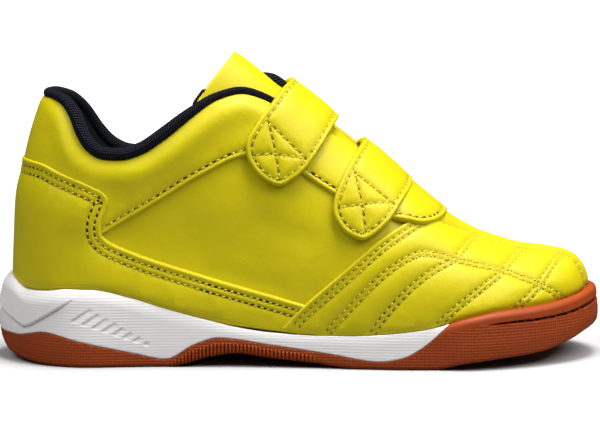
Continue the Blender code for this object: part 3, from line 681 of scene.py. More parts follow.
# distances from the edge, and to both sides of a seam or fold, of the rows of points along it
EDGE_ROWS = (0.04, 0.14, 0.32, 0.6, 1.0)
SEAM_ROWS = (-0.9, -0.45, 0.0, 0.45, 0.9)
FOLD_ROWS = (-0.3, 0.15, 0.55, 1.0, 1.6)
EDGE_ROW_CLEAR = 0.85
EDGE_CLEAR = 1.2
ROW_CLEAR = 0.3
FILL_CLEAR = 0.55
PANEL_SCALE = (250.0, 95.0)
PANEL_EXACT = 1e-6
PANEL_FOOT = -0.7
FOOT_MOST = 0.97
EDGE_RADIUS = 0.6
EDGE_BEAD = 0.16
EDGE_BEAD_IN = 0.8
EDGE_BEAD_WIDE = 0.45
PUFF_EDGE = 3.0
SEAM_DEPTH = 0.38
SEAM_WIDTH = 0.6
# painted shade in the seam troughs, and how wide it spreads
SEAM_SHADE_MARK = 0.3
SEAM_SHADE_MARK_WIDE = 0.7
FAR = 99.0
STITCH_PITCH = 2.3
NEEDLE_SEED = 11
# places of a thread's rings between two holes
THREAD_RINGS = np.array((0.25, 0.33, 0.5, 0.67, 0.75))
THREAD_SIDES = 6
THREAD_RADIUS = 0.27
THREAD_END = 0.65
THREAD_SUNK = 0.14
THREAD_RISE = 0.42
THREAD_SLANT = 1.0
SLANT_RANGE = (0.3, 1.5)
PLUMP_RANGE = (0.85, 1.1)
HOLE_RANGE = (0.7, 1.1)
HOLE_CORNERS = 10
HOLE_LONG = 0.75
HOLE_WIDE = 0.4
HOLE_LIFT = 0.05
HOLE_UNEVEN = 0.4
HOLE_SCALE = 900.0
TWIST_SCALE = 5200.0
THREAD_DARK = (0.47, 0.40, 0.008, 1.0)
THREAD_PALE = (0.66, 0.58, 0.05, 1.0)


def rise_at(x, height, most):
    """Height on the chart round the heel of a height above the floor."""
    part = np.clip((height - base_of(x)) / (top_of(x) - base_of(x)), 0.0, most)
    return np.arcsin(part ** (fullness_of(x) / 2.0)) * 2.0 / math.pi


def side_line(rows, lift):
    """Chart points round the heel of a line drawn as seen from the lateral side, on a face at that lift."""
    rows = np.asarray(rows, float)
    length = run_along(rows)
    fine = np.linspace(0.0, length[-1], int(length[-1] / SIDE_STEP) + 2)
    x = smooth_curve(length, rows[:, 0])(fine)
    z = smooth_curve(length, rows[:, 1])(fine)
    station = x.copy()
    height = z.copy()
    for _ in range(SIDE_ROUNDS):
        s = np.clip(station, HEEL_BACK, TOE_TIP)
        chart = np.stack([-share_at(s), rise_at(s, height, 1.0)], axis=1)
        seen = lifted(round_heel, chart, lift)[0]
        station += x - seen[:, 0]
        height += z - seen[:, 2]
    behind = np.flatnonzero(chart[:, 0] > HEEL_MIDDLE)
    return chart[behind[-1]:] if len(behind) else chart


def other_side(line):
    """The same line on the medial side, run the other way."""
    return (line * np.array([-1.0, 1.0]))[::-1]


def straight(start, end, count):
    return np.linspace(start, end, count)


def joined(count, *lines):
    """A closed outline of some lines, with straight points from each one's end to the next one's start."""
    spans = []
    for line, after in zip(lines, lines[1:] + lines[:1]):
        spans += [line, straight(line[-1], after[0], count)[1:-1]]
    return np.vstack(spans)


def inside_left(ring):
    """A closed line run so that its inside lies to the left on the chart."""
    ahead = np.roll(ring, -1, 0)
    return ring[::-1] if np.sum(ring[:, 0] * ahead[:, 1] - ring[:, 1] * ahead[:, 0]) < 0.0 else ring


def at_lengths(rows, run, even):
    """The rows' values at some lengths of their run."""
    return np.column_stack([np.interp(even, run, column) for column in rows.T])


def along_line(surface, line, spacing, closed=False):
    """Even points along a chart line, by its length on the surface."""
    if closed:
        line = np.vstack([line, line[:1]])
    run = run_along(surface(line))
    even = np.linspace(0.0, run[-1], max(int(round(run[-1] / spacing)), 1) + 1)
    return at_lengths(line, run, even[:-1] if closed else even)


def beside(surface, line, distance, closed=False):
    """The line moved to its left on the chart, by a distance along the surface."""
    steps = max(int(math.ceil(abs(distance))), 1)
    for _ in range(steps):
        ahead = (np.roll(line, -1, 0) - np.roll(line, 1, 0)) if closed else np.gradient(line, axis=0)
        along, across = chart_steps(surface, line)
        tangent = along * ahead[:, :1] + across * ahead[:, 1:]
        left = unit(np.cross(np.cross(along, across), tangent))
        aa, ab, bb = (np.sum(p * q, axis=1) for p, q in ((along, along), (along, across), (across, across)))
        la, lb = np.sum(along * left, axis=1), np.sum(across * left, axis=1)
        move = np.stack([bb * la - ab * lb, aa * lb - ab * la], axis=1) / (aa * bb - ab * ab)[:, None]
        line = line + move * (distance / steps)
    return line


def gap_to(points):
    """A function that gives the distance from any point to the nearest of these."""
    tree = kdtree.KDTree(len(points))
    for i, point in enumerate(points):
        tree.insert(point, i)
    tree.balance()
    return lambda asked: np.array([tree.find(point)[2] for point in asked])


def shifted(faces, first):
    """Faces counted on from a first point."""
    return [tuple(corner + first for corner in face) for face in faces]


def cut_panel(surface, outline, seams, lift_of, scale, foot, spacing=PANEL_SPACING, folds=()):
    """Mesh of a panel in its chart: rows along its edge, seams and folds, points between, and a skirt."""
    ring = inside_left(along_line(surface, outline, RING_STEP, closed=True))
    edge_gap = gap_to(surface(along_line(surface, ring, FINE_EDGE_STEP, closed=True)))
    taken = [ring]
    for inset in EDGE_ROWS:
        row = beside(surface, ring, inset, closed=True)
        taken.append(row[edge_gap(surface(row)) > EDGE_ROW_CLEAR * inset])
    rows = []
    for lines, step, shifts in ((seams, STITCH_PITCH / 2.0, SEAM_ROWS), (folds, FOLD_STEP, FOLD_ROWS)):
        for line in lines:
            even = along_line(surface, line, step)
            rows += [beside(surface, even, shift) for shift in shifts]
    for row in sorted(rows, key=len, reverse=True):
        place = surface(row)
        free = (edge_gap(place) > EDGE_CLEAR) & (gap_to(surface(np.vstack(taken)))(place) > ROW_CLEAR)
        taken.append(row[free])
    low = ring.min(axis=0)
    high = ring.max(axis=0)
    count_a, count_b = ((high - low) * np.array(scale) / spacing).astype(int) + 2
    fill_a, fill_b = np.meshgrid(np.linspace(low[0], high[0], count_a), np.linspace(low[1], high[1], count_b))
    fill_a[1::2] += 0.5 * (high[0] - low[0]) / count_a
    fill = np.stack([fill_a.ravel(), fill_b.ravel()], axis=1)
    taken.append(fill[gap_to(surface(np.vstack(taken)))(surface(fill)) > FILL_CLEAR * spacing])
    chart = np.vstack(taken)
    flat = [Vector(point) for point in (chart * np.array(scale)).tolist()]
    found = delaunay_2d_cdt(flat, [], [list(range(len(ring)))], 1, PANEL_EXACT)
    source = np.array([ids[0] if ids else -1 for ids in found[3]])
    made = np.array([list(v) for v in found[0]]) / np.array(scale)
    made[source >= 0] = chart[source[source >= 0]]
    faces = np.array(found[2])
    used = np.unique(faces)
    place_of = np.full(len(made), -1)
    place_of[used] = np.arange(len(used))
    made = made[used]
    faces = [tuple(face) for face in place_of[faces]]
    bare = surface(made)
    seam_gaps = np.full(len(made), FAR)
    if seams:
        sewn = np.vstack([surface(along_line(surface, seam, FINE_SEAM_STEP)) for seam in seams])
        seam_gaps = gap_to(sewn)(bare)
    points, outward = lifted(surface, made, lift_of(edge_gap(bare), seam_gaps, made))
    where = {int(s): int(place_of[i]) for i, s in enumerate(source) if s >= 0 and place_of[i] >= 0}
    border = [where[i] for i in range(len(ring))]
    first = len(points)
    for i in range(len(ring)):
        k = (i + 1) % len(ring)
        faces.append((border[k], border[i], first + i, first + k))
    points = np.vstack([points, lifted(surface, ring, foot)[0]])
    outward = np.vstack([outward, outward[border]])
    # Painted shade: a little along the seam troughs and full on the skirt round the cut edge, where shade
    # falls.
    shade_marks = np.concatenate([SEAM_SHADE_MARK * np.exp(-(seam_gaps / SEAM_SHADE_MARK_WIDE) ** 2), np.ones(len(ring))])
    return points, face_out(points, faces, outward), shade_marks


def foot_line(start, end, count):
    """Chart points round the heel where the leather meets the sole's top edge, between two shares."""
    shares = np.linspace(start, end, count)
    x = station_at(np.abs(shares))
    return np.stack([shares, rise_at(x, rim_of(x), FOOT_MOST)], axis=1)


def sewn_lift(seat, thick, puff=0.0, reach=1.0, radius=EDGE_RADIUS, bead=0.0):
    """Height of a panel's face: its edge rolls down and beads, its seams sink in, and it swells between."""

    def lift_of(edge_gap, seam_gap, chart):
        roll = quarter_round(edge_gap, 0.0, radius)
        sunk = SEAM_DEPTH * np.exp(-(seam_gap / SEAM_WIDTH) ** 2)
        swell = puff * (1.0 - np.exp(-(seam_gap / reach) ** 2)) * ramp(edge_gap, 0.0, PUFF_EDGE)
        ridge = bead * np.exp(-((edge_gap - EDGE_BEAD_IN) / EDGE_BEAD_WIDE) ** 2)
        return seat + (thick - sunk + ridge) * roll + swell

    return lift_of


def stitch_mesh(place, normal, hole_long=HOLE_LONG):
    """Threads and needle holes at a row of points: short slanted stitches, each between two dark discs of
    painted shade that stand for the holes.
    """
    rings = THREAD_RINGS
    ring_points = len(rings) * THREAD_SIDES
    sides = np.arange(THREAD_SIDES) * math.tau / THREAD_SIDES
    hole_turn = np.arange(HOLE_CORNERS) * math.tau / HOLE_CORNERS
    ahead = unit(np.gradient(place, axis=0))
    flank = np.cross(normal, ahead)
    span = place[1:] - place[:-1]
    up = (normal[1:] + normal[:-1]) / 2.0
    side = (flank[1:] + flank[:-1]) / 2.0
    bulge = np.clip(np.sin(math.pi * (rings - rings[0]) / (rings[-1] - rings[0])), 0.0, 1.0)
    arch = THREAD_RISE * bulge - THREAD_SUNK
    slant = THREAD_SLANT * needle.uniform(*SLANT_RANGE, len(span))
    plump = needle.uniform(*PLUMP_RANGE, len(span))
    centre = place[:-1, None] + span[:, None] * rings[:, None] + up[:, None] * arch[:, None]
    centre = centre + side[:, None] * (slant[:, None] * (rings - 0.5))[..., None]
    girth = THREAD_RADIUS * plump[:, None] * (THREAD_END + (1.0 - THREAD_END) * bulge)
    turned = np.cos(sides)[:, None] * side[:, None, None] + np.sin(sides)[:, None] * up[:, None, None]
    thread = centre[:, :, None] + girth[:, :, None, None] * turned
    ring, turn = np.meshgrid(np.arange(len(rings) - 1) * THREAD_SIDES, np.arange(THREAD_SIDES), indexing="ij")
    step = (turn + 1) % THREAD_SIDES
    after = ring + THREAD_SIDES
    quad = np.stack([ring + turn, ring + step, after + step, after + turn], -1).reshape(-1, 4)
    quad = (quad + (np.arange(len(span)) * ring_points)[:, None, None]).reshape(-1, 4)
    size = needle.uniform(*HOLE_RANGE, len(place))[:, None]
    off = HOLE_WIDE * size * np.sin(hole_turn)
    wall = SEAM_DEPTH * (1.0 - np.exp(-(off / SEAM_WIDTH) ** 2)) + HOLE_LIFT
    disc = place[:, None] + normal[:, None] * wall[..., None]
    disc = disc + (hole_long * size * np.cos(hole_turn))[..., None] * ahead[:, None]
    disc = disc + off[..., None] * flank[:, None]
    holes = np.arange(len(place) * HOLE_CORNERS).reshape(-1, HOLE_CORNERS)[:, ::-1] + len(span) * ring_points
    points = np.vstack([thread.reshape(-1, 3), disc.reshape(-1, 3)])
    return points, quad.tolist() + holes.tolist(), [0] * len(quad) + [1] * len(holes)


def add_stitches(name, runs, hole_shade, hole_long=HOLE_LONG):
    """One piece of all the stitches of a panel, from (surface, seams, lift, pitch) runs."""
    points = np.empty((0, 3))
    faces = []
    slots = []
    for surface, seams, lift_of, pitch in runs:
        for seam in seams:
            nodes = along_line(surface, seam, pitch)
            sunk = lift_of(np.full(len(nodes), FAR), np.zeros(len(nodes)), nodes)
            new_points, new_faces, new_slots = stitch_mesh(*lifted(surface, nodes, sunk), hole_long)
            faces += shifted(new_faces, len(points))
            slots += new_slots
            points = np.vstack([points, new_points])
    return add_piece(name, points, faces, [yellow_thread, hole_shade], slots=slots)


needle = np.random.default_rng(NEEDLE_SEED)
yellow_thread, thread_tree, thread_shader = new_material("yellow_thread")
thread_twist = noise_at(thread_tree, TWIST_SCALE, detail=1.0)
set_inputs(thread_tree, thread_shader, {
    "Base Color": mix_colours(thread_tree, thread_twist, THREAD_DARK, THREAD_PALE),
    "Roughness": 0.5,
})


def hole_shade_material(name, dark, pale, painted_top_light):
    """Needle holes as discs of painted shade: unevenly dark, and paler where they face up, as painted light
    from above.
    """
    material, tree, shader = new_material(name)
    normal = add_node(tree, "ShaderNodeNewGeometry").outputs["Normal"]
    looks = add_node(tree, "ShaderNodeSeparateXYZ", {"Vector": normal}).outputs["Z"]
    upward = link_value(tree, "MAXIMUM", looks, 0.0)
    upward = link_value(tree, "MULTIPLY", upward, upward)
    uneven = noise_at(tree, HOLE_SCALE, detail=1.0)
    # Painted light: holes that face up turn paler, while the rest stay dark with painted shade.
    share = weighed(tree, 0.0, (uneven, HOLE_UNEVEN), (upward, painted_top_light))
    set_inputs(tree, shader, {
        "Base Color": mix_colours(tree, share, dark, pale),
        "Roughness": 0.9,
        "Specular IOR Level": 0.05,
    })
    return material


needle_hole_shade = hole_shade_material(
    "needle_hole_shade", dark=(0.008, 0.007, 0.002, 1.0), pale=(0.1, 0.08, 0.004, 1.0), painted_top_light=0.2
)

counter_lateral = side_line(COUNTER_EDGE, COUNTER_THICK)[::-1]
counter_top = np.vstack([counter_lateral, other_side(counter_lateral)[1:]])
counter_end = counter_top[-1, 0]
counter_foot = straight((counter_end, HIDDEN_FOOT), (-counter_end, HIDDEN_FOOT), COUNTER_FOOT_POINTS)
counter_outline = joined(COUNTER_END_POINTS, counter_top, counter_foot)
counter_line = along_line(round_heel, counter_top, LINE_STEP)
counter_seams = [beside(round_heel, counter_line, -inset) for inset in COUNTER_SEAMS]


def counter_lift(edge_gap, seam_gap, chart):
    """The counter thins out into the foxing that runs under the vamp."""
    thin = ramp(station_at(np.abs(chart[:, 0])), FOXING_FROM, FOXING_REACH)
    thick = COUNTER_THICK + (FOXING_THICK - COUNTER_THICK) * thin
    puff = COUNTER_PUFF * (1.0 - thin)
    return sewn_lift(0.0, thick, puff, COUNTER_REACH, bead=EDGE_BEAD)(edge_gap, seam_gap, chart)


counter_points, counter_faces, counter_shade_marks = cut_panel(
    round_heel, counter_outline, counter_seams, counter_lift, PANEL_SCALE, PANEL_FOOT,
    folds=[foot_line(-counter_end, counter_end, COUNTER_FOLD_POINTS)],
)
heel_counter = add_piece(
    "heel_counter_panel", counter_points, counter_faces, [yellow_leather], shade_marks=counter_shade_marks
)
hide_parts("heel_counter")
counter_stitching = add_stitches(
    "heel_counter_stitching", [(round_heel, counter_seams, counter_lift, STITCH_PITCH)], needle_hole_shade
)

# Collar panel: yellow leather from the collar's edge down to one sewn slanting edge, and under the counter.
# Its front part is the eyestay round the throat, which ends in a round tab sewn on the vamp.
COLLAR_THICK = 1.3
RIDGE_SCALE = (250.0, 55.0)
STITCH_WIDE_PITCH = 2.8
COLLAR_SEAM = 2.0
COLLAR_SEAM_SKIP = 4
COLLAR_RIM_POINTS = 500
COLLAR_END_POINTS = 30
RIM_GAP_STEP = 0.3
COLLAR_HOLE_LONG = 1.0
COLLAR_PAD = 0.8
COLLAR_PAD_DOWN = 5.5
COLLAR_PAD_REACH = 3.8
COLLAR_TURN = 1.3
COLLAR_TURN_REACH = 3.6
HEEL_TURN = 0.9
HEEL_TURN_REACH = 1.6
HEEL_PAD = -0.1
HEEL_PAD_END = -97.0
HEEL_PAD_FADE = 15.0
ANKLE_PAD = 0.9
ANKLE_PAD_AT = -44.0
ANKLE_PAD_LONG = 24.0
ANKLE_PAD_DOWN = 6.5
ANKLE_PAD_REACH = 5.0
# station and height of the lower edge seen from the side, then its run hidden under the counter
COLLAR_EDGE = (
    (-69.6, 44.3),
    (-66.9, 45.9),
    (-47.7, 57.2),
    (-33.9, 65.6),
    (-18.5, 72.4),
    (-9.0, 73.4),
    (0.4, 67.0),
    (3.0, 65.2),
)
UNDER_COUNTER = (
    (-112.0, 66.0),
    (-91.0, 65.5),
    (-80.0, 63.0),
    (-72.5, 59.8),
    (-68.3, 57.0),
    (-69.3, 53.0),
    (-70.6, 49.0),
    (-70.6, 46.2),
)
EYESTAY_BACK = -3.0
EYESTAY_THICK = 1.45
EYESTAY_SKIP = 6
EYESTAY_END_POINTS = 24
THROAT_POINTS = 160
TAB_FROM = 30.0
TAB_REACH = 7.0
TAB_RISE = 1.75
# station and height of the eyestay's lower edge seen from the side, then station and rise of its tab
EYESTAY_EDGE = (
    (-3.0, 69.8),
    (0.4, 67.0),
    (13.0, 58.8),
    (21.0, 54.2),
    (26.0, 52.5),
)
TAB_EDGE = (
    (32.4, -0.474),
    (37.0, -0.446),
    (41.7, -0.402),
    (46.0, -0.306),
    (49.0, -0.166),
    (50.6, 0.0),
)

collar_lateral = side_line(COLLAR_EDGE, COLLAR_THICK)[::-1]
under_lateral = side_line(UNDER_COUNTER, COLLAR_THICK)[::-1]
collar_half = np.vstack([collar_lateral, under_lateral])
collar_low = np.vstack([collar_half, other_side(collar_half)[1:]])
collar_front = collar_lateral[0, 0]
rim_run = np.linspace(-collar_front, collar_front, COLLAR_RIM_POINTS)
collar_rim = np.stack([rim_run, rim_height(rim_run)], axis=1)
collar_line = along_line(round_heel, collar_lateral[::-1], LINE_STEP)[COLLAR_SEAM_SKIP:]
collar_seam = beside(round_heel, collar_line, -COLLAR_SEAM)
collar_seams = [collar_seam, other_side(collar_seam)]
collar_rim_gap = gap_to(round_heel(along_line(round_heel, collar_rim, RIM_GAP_STEP)))


def collar_lift(edge_gap, seam_gap, chart):
    """The panel swells over the collar's foam and turns inwards where it meets the roll."""
    down = collar_rim_gap(round_heel(chart))
    station = station_at(np.abs(chart[:, 0]))
    side = ramp(station, HEEL_PAD_END, HEEL_PAD_FADE)
    pad = HEEL_PAD + (COLLAR_PAD - HEEL_PAD) * side
    pad = pad * np.exp(-(((down - COLLAR_PAD_DOWN) / COLLAR_PAD_REACH) ** 2))
    middle = np.exp(-(((station - ANKLE_PAD_AT) / ANKLE_PAD_LONG) ** 4))
    pad = pad + ANKLE_PAD * middle * np.exp(-(((down - ANKLE_PAD_DOWN) / ANKLE_PAD_REACH) ** 2))
    turn_reach = HEEL_TURN_REACH + (COLLAR_TURN_REACH - HEEL_TURN_REACH) * side
    turn = (HEEL_TURN + (COLLAR_TURN - HEEL_TURN) * side) * np.exp(-((down / turn_reach) ** 2))
    return sewn_lift(0.0, COLLAR_THICK, bead=EDGE_BEAD)(edge_gap, seam_gap, chart) + pad - turn


collar_points, collar_faces, collar_shade_marks = cut_panel(
    round_heel, joined(COLLAR_END_POINTS, collar_low, collar_rim), collar_seams, collar_lift,
    PANEL_SCALE, PANEL_FOOT,
)


def over_ridge(chart):
    """Chart unrolled over the ridge: from the heel at 0 to the toe at 1, and across from -1 to 1."""
    return last_point(station_at(chart[..., 0]), chart[..., 1])


def fair_line(points, steps=14):
    """A fair line through a few chart points."""
    p = np.asarray(points, float)
    p = np.vstack([2.0 * p[0] - p[1], p, 2.0 * p[-1] - p[-2]])
    t = np.linspace(0.0, 1.0, steps, endpoint=False)[:, None]
    spans = []
    for a, b, c, d in zip(p, p[1:], p[2:], p[3:]):
        bend = (2.0 * a - 5.0 * b + 4.0 * c - d) * t ** 2 + (3.0 * b - a - 3.0 * c + d) * t ** 3
        spans.append(0.5 * (2.0 * b + (c - a) * t + bend))
    return np.vstack(spans + [p[-2:-1]])


def ridge_chart(rows):
    """Chart points over the ridge from rows of station and rise."""
    rows = np.asarray(rows, float)
    return np.stack([share_at(rows[:, 0]), rows[:, 1]], axis=1)


def ridge_from_heel(line):
    """Chart points over the ridge of a lateral line on the chart round the heel."""
    return np.stack([-line[:, 0], line[:, 1] - 1.0], axis=1)


def mirrored(line):
    """The same line on the other side of the ridge, run the other way."""
    return (line * np.array([1.0, -1.0]))[::-1]


def eased(value, start, reach):
    """The ramp with soft ends."""
    part = ramp(value, start, reach)
    return part * part * (3.0 - 2.0 * part)


def eyestay_lift(edge_gap, seam_gap, chart):
    """The eyestay climbs on the vamp in front, where it becomes the tab."""
    seat = TAB_RISE * eased(station_at(chart[:, 0]), TAB_FROM, TAB_REACH)
    return sewn_lift(seat, EYESTAY_THICK)(edge_gap, seam_gap, chart)


eyestay_rear = ridge_from_heel(side_line(EYESTAY_EDGE, COLLAR_THICK))[::EYESTAY_SKIP]
eyestay_lateral = fair_line(np.vstack([eyestay_rear, ridge_chart(TAB_EDGE)]))
throat_share = np.linspace(share_at(EYESTAY_BACK), throat_end, THROAT_POINTS)
throat_outer, throat_inner = (
    np.stack([throat_share, side * (1.0 - rim_height(side * throat_share))], axis=1) for side in (-1.0, 1.0)
)
eyestay_outline = joined(
    EYESTAY_END_POINTS,
    np.vstack([eyestay_lateral, mirrored(eyestay_lateral)[1:]]),
    np.vstack([throat_inner, throat_outer[::-1]]),
)
eyestay_line = along_line(over_ridge, eyestay_lateral, LINE_STEP)
eyestay_seam = beside(over_ridge, np.vstack([eyestay_line, mirrored(eyestay_line)[1:]]), COLLAR_SEAM)
eyestay_points, eyestay_faces, eyestay_shade_marks = cut_panel(
    over_ridge, eyestay_outline, [eyestay_seam], eyestay_lift, RIDGE_SCALE, PANEL_FOOT
)
collar_panel = add_piece(
    "collar_and_eyestay",
    np.vstack([collar_points, eyestay_points]),
    collar_faces + shifted(eyestay_faces, len(collar_points)),
    [yellow_leather],
    shade_marks=np.concatenate([collar_shade_marks, eyestay_shade_marks]),
)
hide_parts("collar_panel")
collar_stitching = add_stitches(
    "collar_stitching",
    [
        (round_heel, collar_seams, collar_lift, STITCH_WIDE_PITCH),
        (over_ridge, [eyestay_seam], eyestay_lift, STITCH_WIDE_PITCH),
    ],
    needle_hole_shade,
    COLLAR_HOLE_LONG,
)

# Vamp: the quilted yellow leather toe piece. Double rows of stitches fan out from the sole on both sides and
# meet two long rows, so that the thin foam under it swells between them. Its rear edges lie on the quarters
# and the foxing.
VAMP_THICK = 2.0
VAMP_SEWN_THICK = 1.7
VAMP_BEAD = 0.12
VAMP_SEAMS = (2.2, 4.1)
VAMP_SEAM_FOOT = 0.96
VAMP_PITCH = 2.5
FAINT_HOLE_LONG = 0.45
QUILT_APART = 0.88
QUILT_PUFF = 0.45
QUILT_REACH = 3.6
VAMP_FOOT = 0.998
VAMP_TOE = 0.978
VAMP_CONTACT_TOE = 0.955
VAMP_BACK = 41.0
VAMP_BACK_CORNER = 0.25
VAMP_TOE_POINTS = 60
VAMP_FOOT_POINTS = 300
VAMP_BACK_POINTS = 20
# station and height of the rear edge seen from the side
VAMP_EDGE = (
    (-9.0, 10.0),
    (-6.0, 13.7),
    (0.3, 20.4),
    (8.9, 28.2),
    (17.6, 35.8),
    (22.6, 40.2),
    (27.5, 44.2),
    (32.3, 47.2),
    (36.7, 49.7),
    (40.5, 51.5),
)
# station and rise of the quilting lines on the lateral side
QUILT_LINES = (
    ((10.5, -0.98), (16.4, -0.92), (23.1, -0.84), (28.1, -0.775), (33.2, -0.705), (37.8, -0.64),
     (42.1, -0.585), (48.6, -0.543), (56.2, -0.513), (69.6, -0.49), (76.2, -0.55), (82.6, -0.625),
     (89.9, -0.77), (94.5, -0.9)),
    ((25.6, -0.97), (33.3, -0.86), (42.9, -0.71), (49.0, -0.605), (53.1, -0.52), (56.4, -0.39),
     (62.0, -0.11)),
    ((48.0, -0.925), (53.6, -0.84), (61.2, -0.705), (67.6, -0.57), (70.4, -0.485), (73.4, -0.355),
     (78.5, -0.1)),
    ((74.3, -0.82), (78.5, -0.74), (82.6, -0.625), (86.9, -0.435), (92.6, -0.12)),
    ((48.0, -0.22), (53.5, -0.16), (58.8, -0.115), (70.9, -0.09), (84.4, -0.1), (92.0, -0.125),
     (96.2, -0.215), (98.7, -0.44), (99.4, -0.62)),
)

vamp_lateral = ridge_from_heel(side_line(VAMP_EDGE, VAMP_THICK))
vamp_lateral = vamp_lateral[vamp_lateral[:, 1] > -VAMP_FOOT]
vamp_rear = vamp_lateral[0, 0]
vamp_back = share_at(VAMP_BACK)
vamp_half = np.vstack([
    straight((VAMP_TOE, 0.0), (VAMP_TOE, -VAMP_FOOT), VAMP_TOE_POINTS)[:-1],
    straight((VAMP_TOE, -VAMP_FOOT), (vamp_rear, -VAMP_FOOT), VAMP_FOOT_POINTS)[:-1],
    vamp_lateral,
    straight(vamp_lateral[-1], (vamp_back, -VAMP_BACK_CORNER), VAMP_BACK_POINTS)[1:],
    straight((vamp_back, -VAMP_BACK_CORNER), (vamp_back, 0.0), VAMP_BACK_POINTS)[1:],
])
vamp_outline = np.vstack([vamp_half, mirrored(vamp_half)[1:-1]])
vamp_line = along_line(over_ridge, vamp_lateral[vamp_lateral[:, 1] > -VAMP_SEAM_FOOT], LINE_STEP)
vamp_seams = [beside(over_ridge, vamp_line, -inset) for inset in VAMP_SEAMS]
for rows in QUILT_LINES:
    middle = along_line(over_ridge, ridge_chart(fair_line(rows)), LINE_STEP)
    vamp_seams += [beside(over_ridge, middle, shift) for shift in (-QUILT_APART, QUILT_APART)]
vamp_seams += [mirrored(seam) for seam in vamp_seams]
vamp_contact = foot_line(vamp_rear, VAMP_CONTACT_TOE, VAMP_FOOT_POINTS) - np.array([0.0, 1.0])
vamp_lift = sewn_lift(0.0, VAMP_SEWN_THICK, QUILT_PUFF, QUILT_REACH, bead=VAMP_BEAD)
vamp_points, vamp_faces, vamp_shade_marks = cut_panel(
    over_ridge, vamp_outline, vamp_seams, vamp_lift, RIDGE_SCALE, PANEL_FOOT,
    folds=[vamp_contact, mirrored(vamp_contact)],
)
vamp = add_piece("vamp", vamp_points, vamp_faces, [yellow_leather], shade_marks=vamp_shade_marks)
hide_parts("vamp_overlay")
faint_hole_shade = hole_shade_material(
    "faint_hole_shade", dark=(0.015, 0.012, 0.002, 1.0), pale=(0.38, 0.32, 0.004, 1.0), painted_top_light=1.0
)
vamp_stitching = add_stitches(
    "vamp_stitching", [(over_ridge, vamp_seams, vamp_lift, VAMP_PITCH)], faint_hole_shade, FAINT_HOLE_LONG
)

# Collar roll: black knitted textile drawn over a soft foam cord along the collar's edge and into the lining.
# It is fullest round the heel and thins towards the throat, where both ends run under the upper strap.
ROLL_COLUMNS = 420
ROLL_SIDES = 22
ROLL_FRONT = -4.0
# station, radius on the outer and on the inner side
ROLL_GIRTH = np.array((
    (-98.0, 1.7, 1.7),
    (-86.0, 1.75, 1.75),
    (-76.0, 2.35, 2.35),
    (-46.0, 2.35, 2.35),
    (-26.0, 1.55, 2.1),
    (0.0, 1.5, 2.2),
))
ROLL_SEAT = 0.62
ROLL_INSET = 0.55
KNIT_BUMP = 1.2
KNIT_COLOURS = {"Colour": (0.003, 0.0032, 0.005, 1.0), "Light": (0.042, 0.046, 0.085, 1.0)}


def tube(centre, out, up, radius, sides):
    """A round tube along a row of points: points, outward directions, quads, their order and a thread map."""
    turn = np.arange(sides) * math.tau / sides
    ring = np.cos(turn)[:, None] * out[:, None] + np.sin(turn)[:, None] * up[:, None]
    points = centre[:, None] + radius[:, None, None] * ring
    order = np.arange(len(centre) * sides).reshape(-1, sides).T
    quads = order.ravel()[grid_faces(sides, len(centre), closed=True)]
    threads = grid_of(run_along(centre)[:, None], turn * radius.max())
    return points.reshape(-1, 3), ring.reshape(-1, 3), quads.tolist(), order, threads.reshape(-1, 2)


black_knit = skin_material("black_knit", knit_threads, KNIT_COLOURS, KNIT_BUMP, KNIT_DEEP, KNIT_FINISH)

roll_share = np.linspace(-share_at(ROLL_FRONT), share_at(ROLL_FRONT), ROLL_COLUMNS)
roll_place, roll_out = lifted(round_heel, np.stack([roll_share, rim_height(roll_share)], axis=1), -ROLL_INSET)
roll_up = np.cross(unit(np.gradient(roll_place, axis=0)), roll_out)
roll_up *= np.where(roll_up[:, 2:] < 0.0, -1.0, 1.0)
outer_girth, inner_girth = curves(ROLL_GIRTH)
roll_radius = np.where(roll_share < 0.0, outer_girth(roll_place[:, 0]), inner_girth(roll_place[:, 0]))
roll_centre = roll_place + roll_up * (roll_radius * ROLL_SEAT)[:, None]
roll_points, roll_ring, roll_quads, roll_order, roll_threads = tube(
    roll_centre, roll_out, roll_up, roll_radius, ROLL_SIDES
)
roll_caps = [roll_order[:, 0].tolist(), roll_order[::-1, -1].tolist()]
roll_faces = face_out(roll_points, roll_quads + roll_caps, roll_ring)
collar_roll = add_piece("collar_roll", roll_points, roll_faces, [black_knit], threads=roll_threads)
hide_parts("collar_binding")

# Tongue: a padded leather sheet under the throat, sewn in at its front and cut square at the top. Its black
# textile backing shows as a thin dark line round the leather.
TONGUE_FRONT = 41.0
TONGUE_TOP = -21.6
TONGUE_CORNER = -36.6
INNER_CORNER = -25.0
TONGUE_SPREAD_FRONT = 0.2
TONGUE_SPREAD_TOP = 0.49
TONGUE_SEAT = 2.0
TONGUE_THICK = 1.5
TONGUE_CLIMB = 1.4
TONGUE_CLIMB_FROM = -8.0
TONGUE_CLIMB_REACH = 10.0
TONGUE_EDGE = 0.6
TONGUE_STEP = 0.5
TONGUE_TOP_POINTS = 121
TONGUE_FRONT_POINTS = 31
TONGUE_SIDE_POINTS = 120
CORNER_SOFT_POINTS = 18
BACKING_INSET = 1.8
BACKING_THICK = 1.0
BACKING_EDGE = 0.7

tongue_low = -TONGUE_SEAT - TONGUE_THICK
tongue_spread = np.linspace(-1.0, 1.0, TONGUE_TOP_POINTS)
tongue_corner = np.where(tongue_spread < 0.0, TONGUE_CORNER, INNER_CORNER)
tongue_back = TONGUE_TOP + (tongue_corner - TONGUE_TOP) * tongue_spread ** 2
tongue_top_edge = np.stack([tongue_back, tongue_spread * TONGUE_SPREAD_TOP], axis=1)
tongue_front_edge = straight(
    (TONGUE_FRONT, TONGUE_SPREAD_FRONT), (TONGUE_FRONT, -TONGUE_SPREAD_FRONT), TONGUE_FRONT_POINTS
)
tongue_sharp = ridge_chart(joined(TONGUE_SIDE_POINTS, tongue_top_edge, tongue_front_edge))
tongue_sharp = along_line(over_ridge, tongue_sharp, TONGUE_STEP, closed=True)
tongue_outline = inside_left(
    np.column_stack([soften(column, BELL, CORNER_SOFT_POINTS, "wrap") for column in tongue_sharp.T])
)


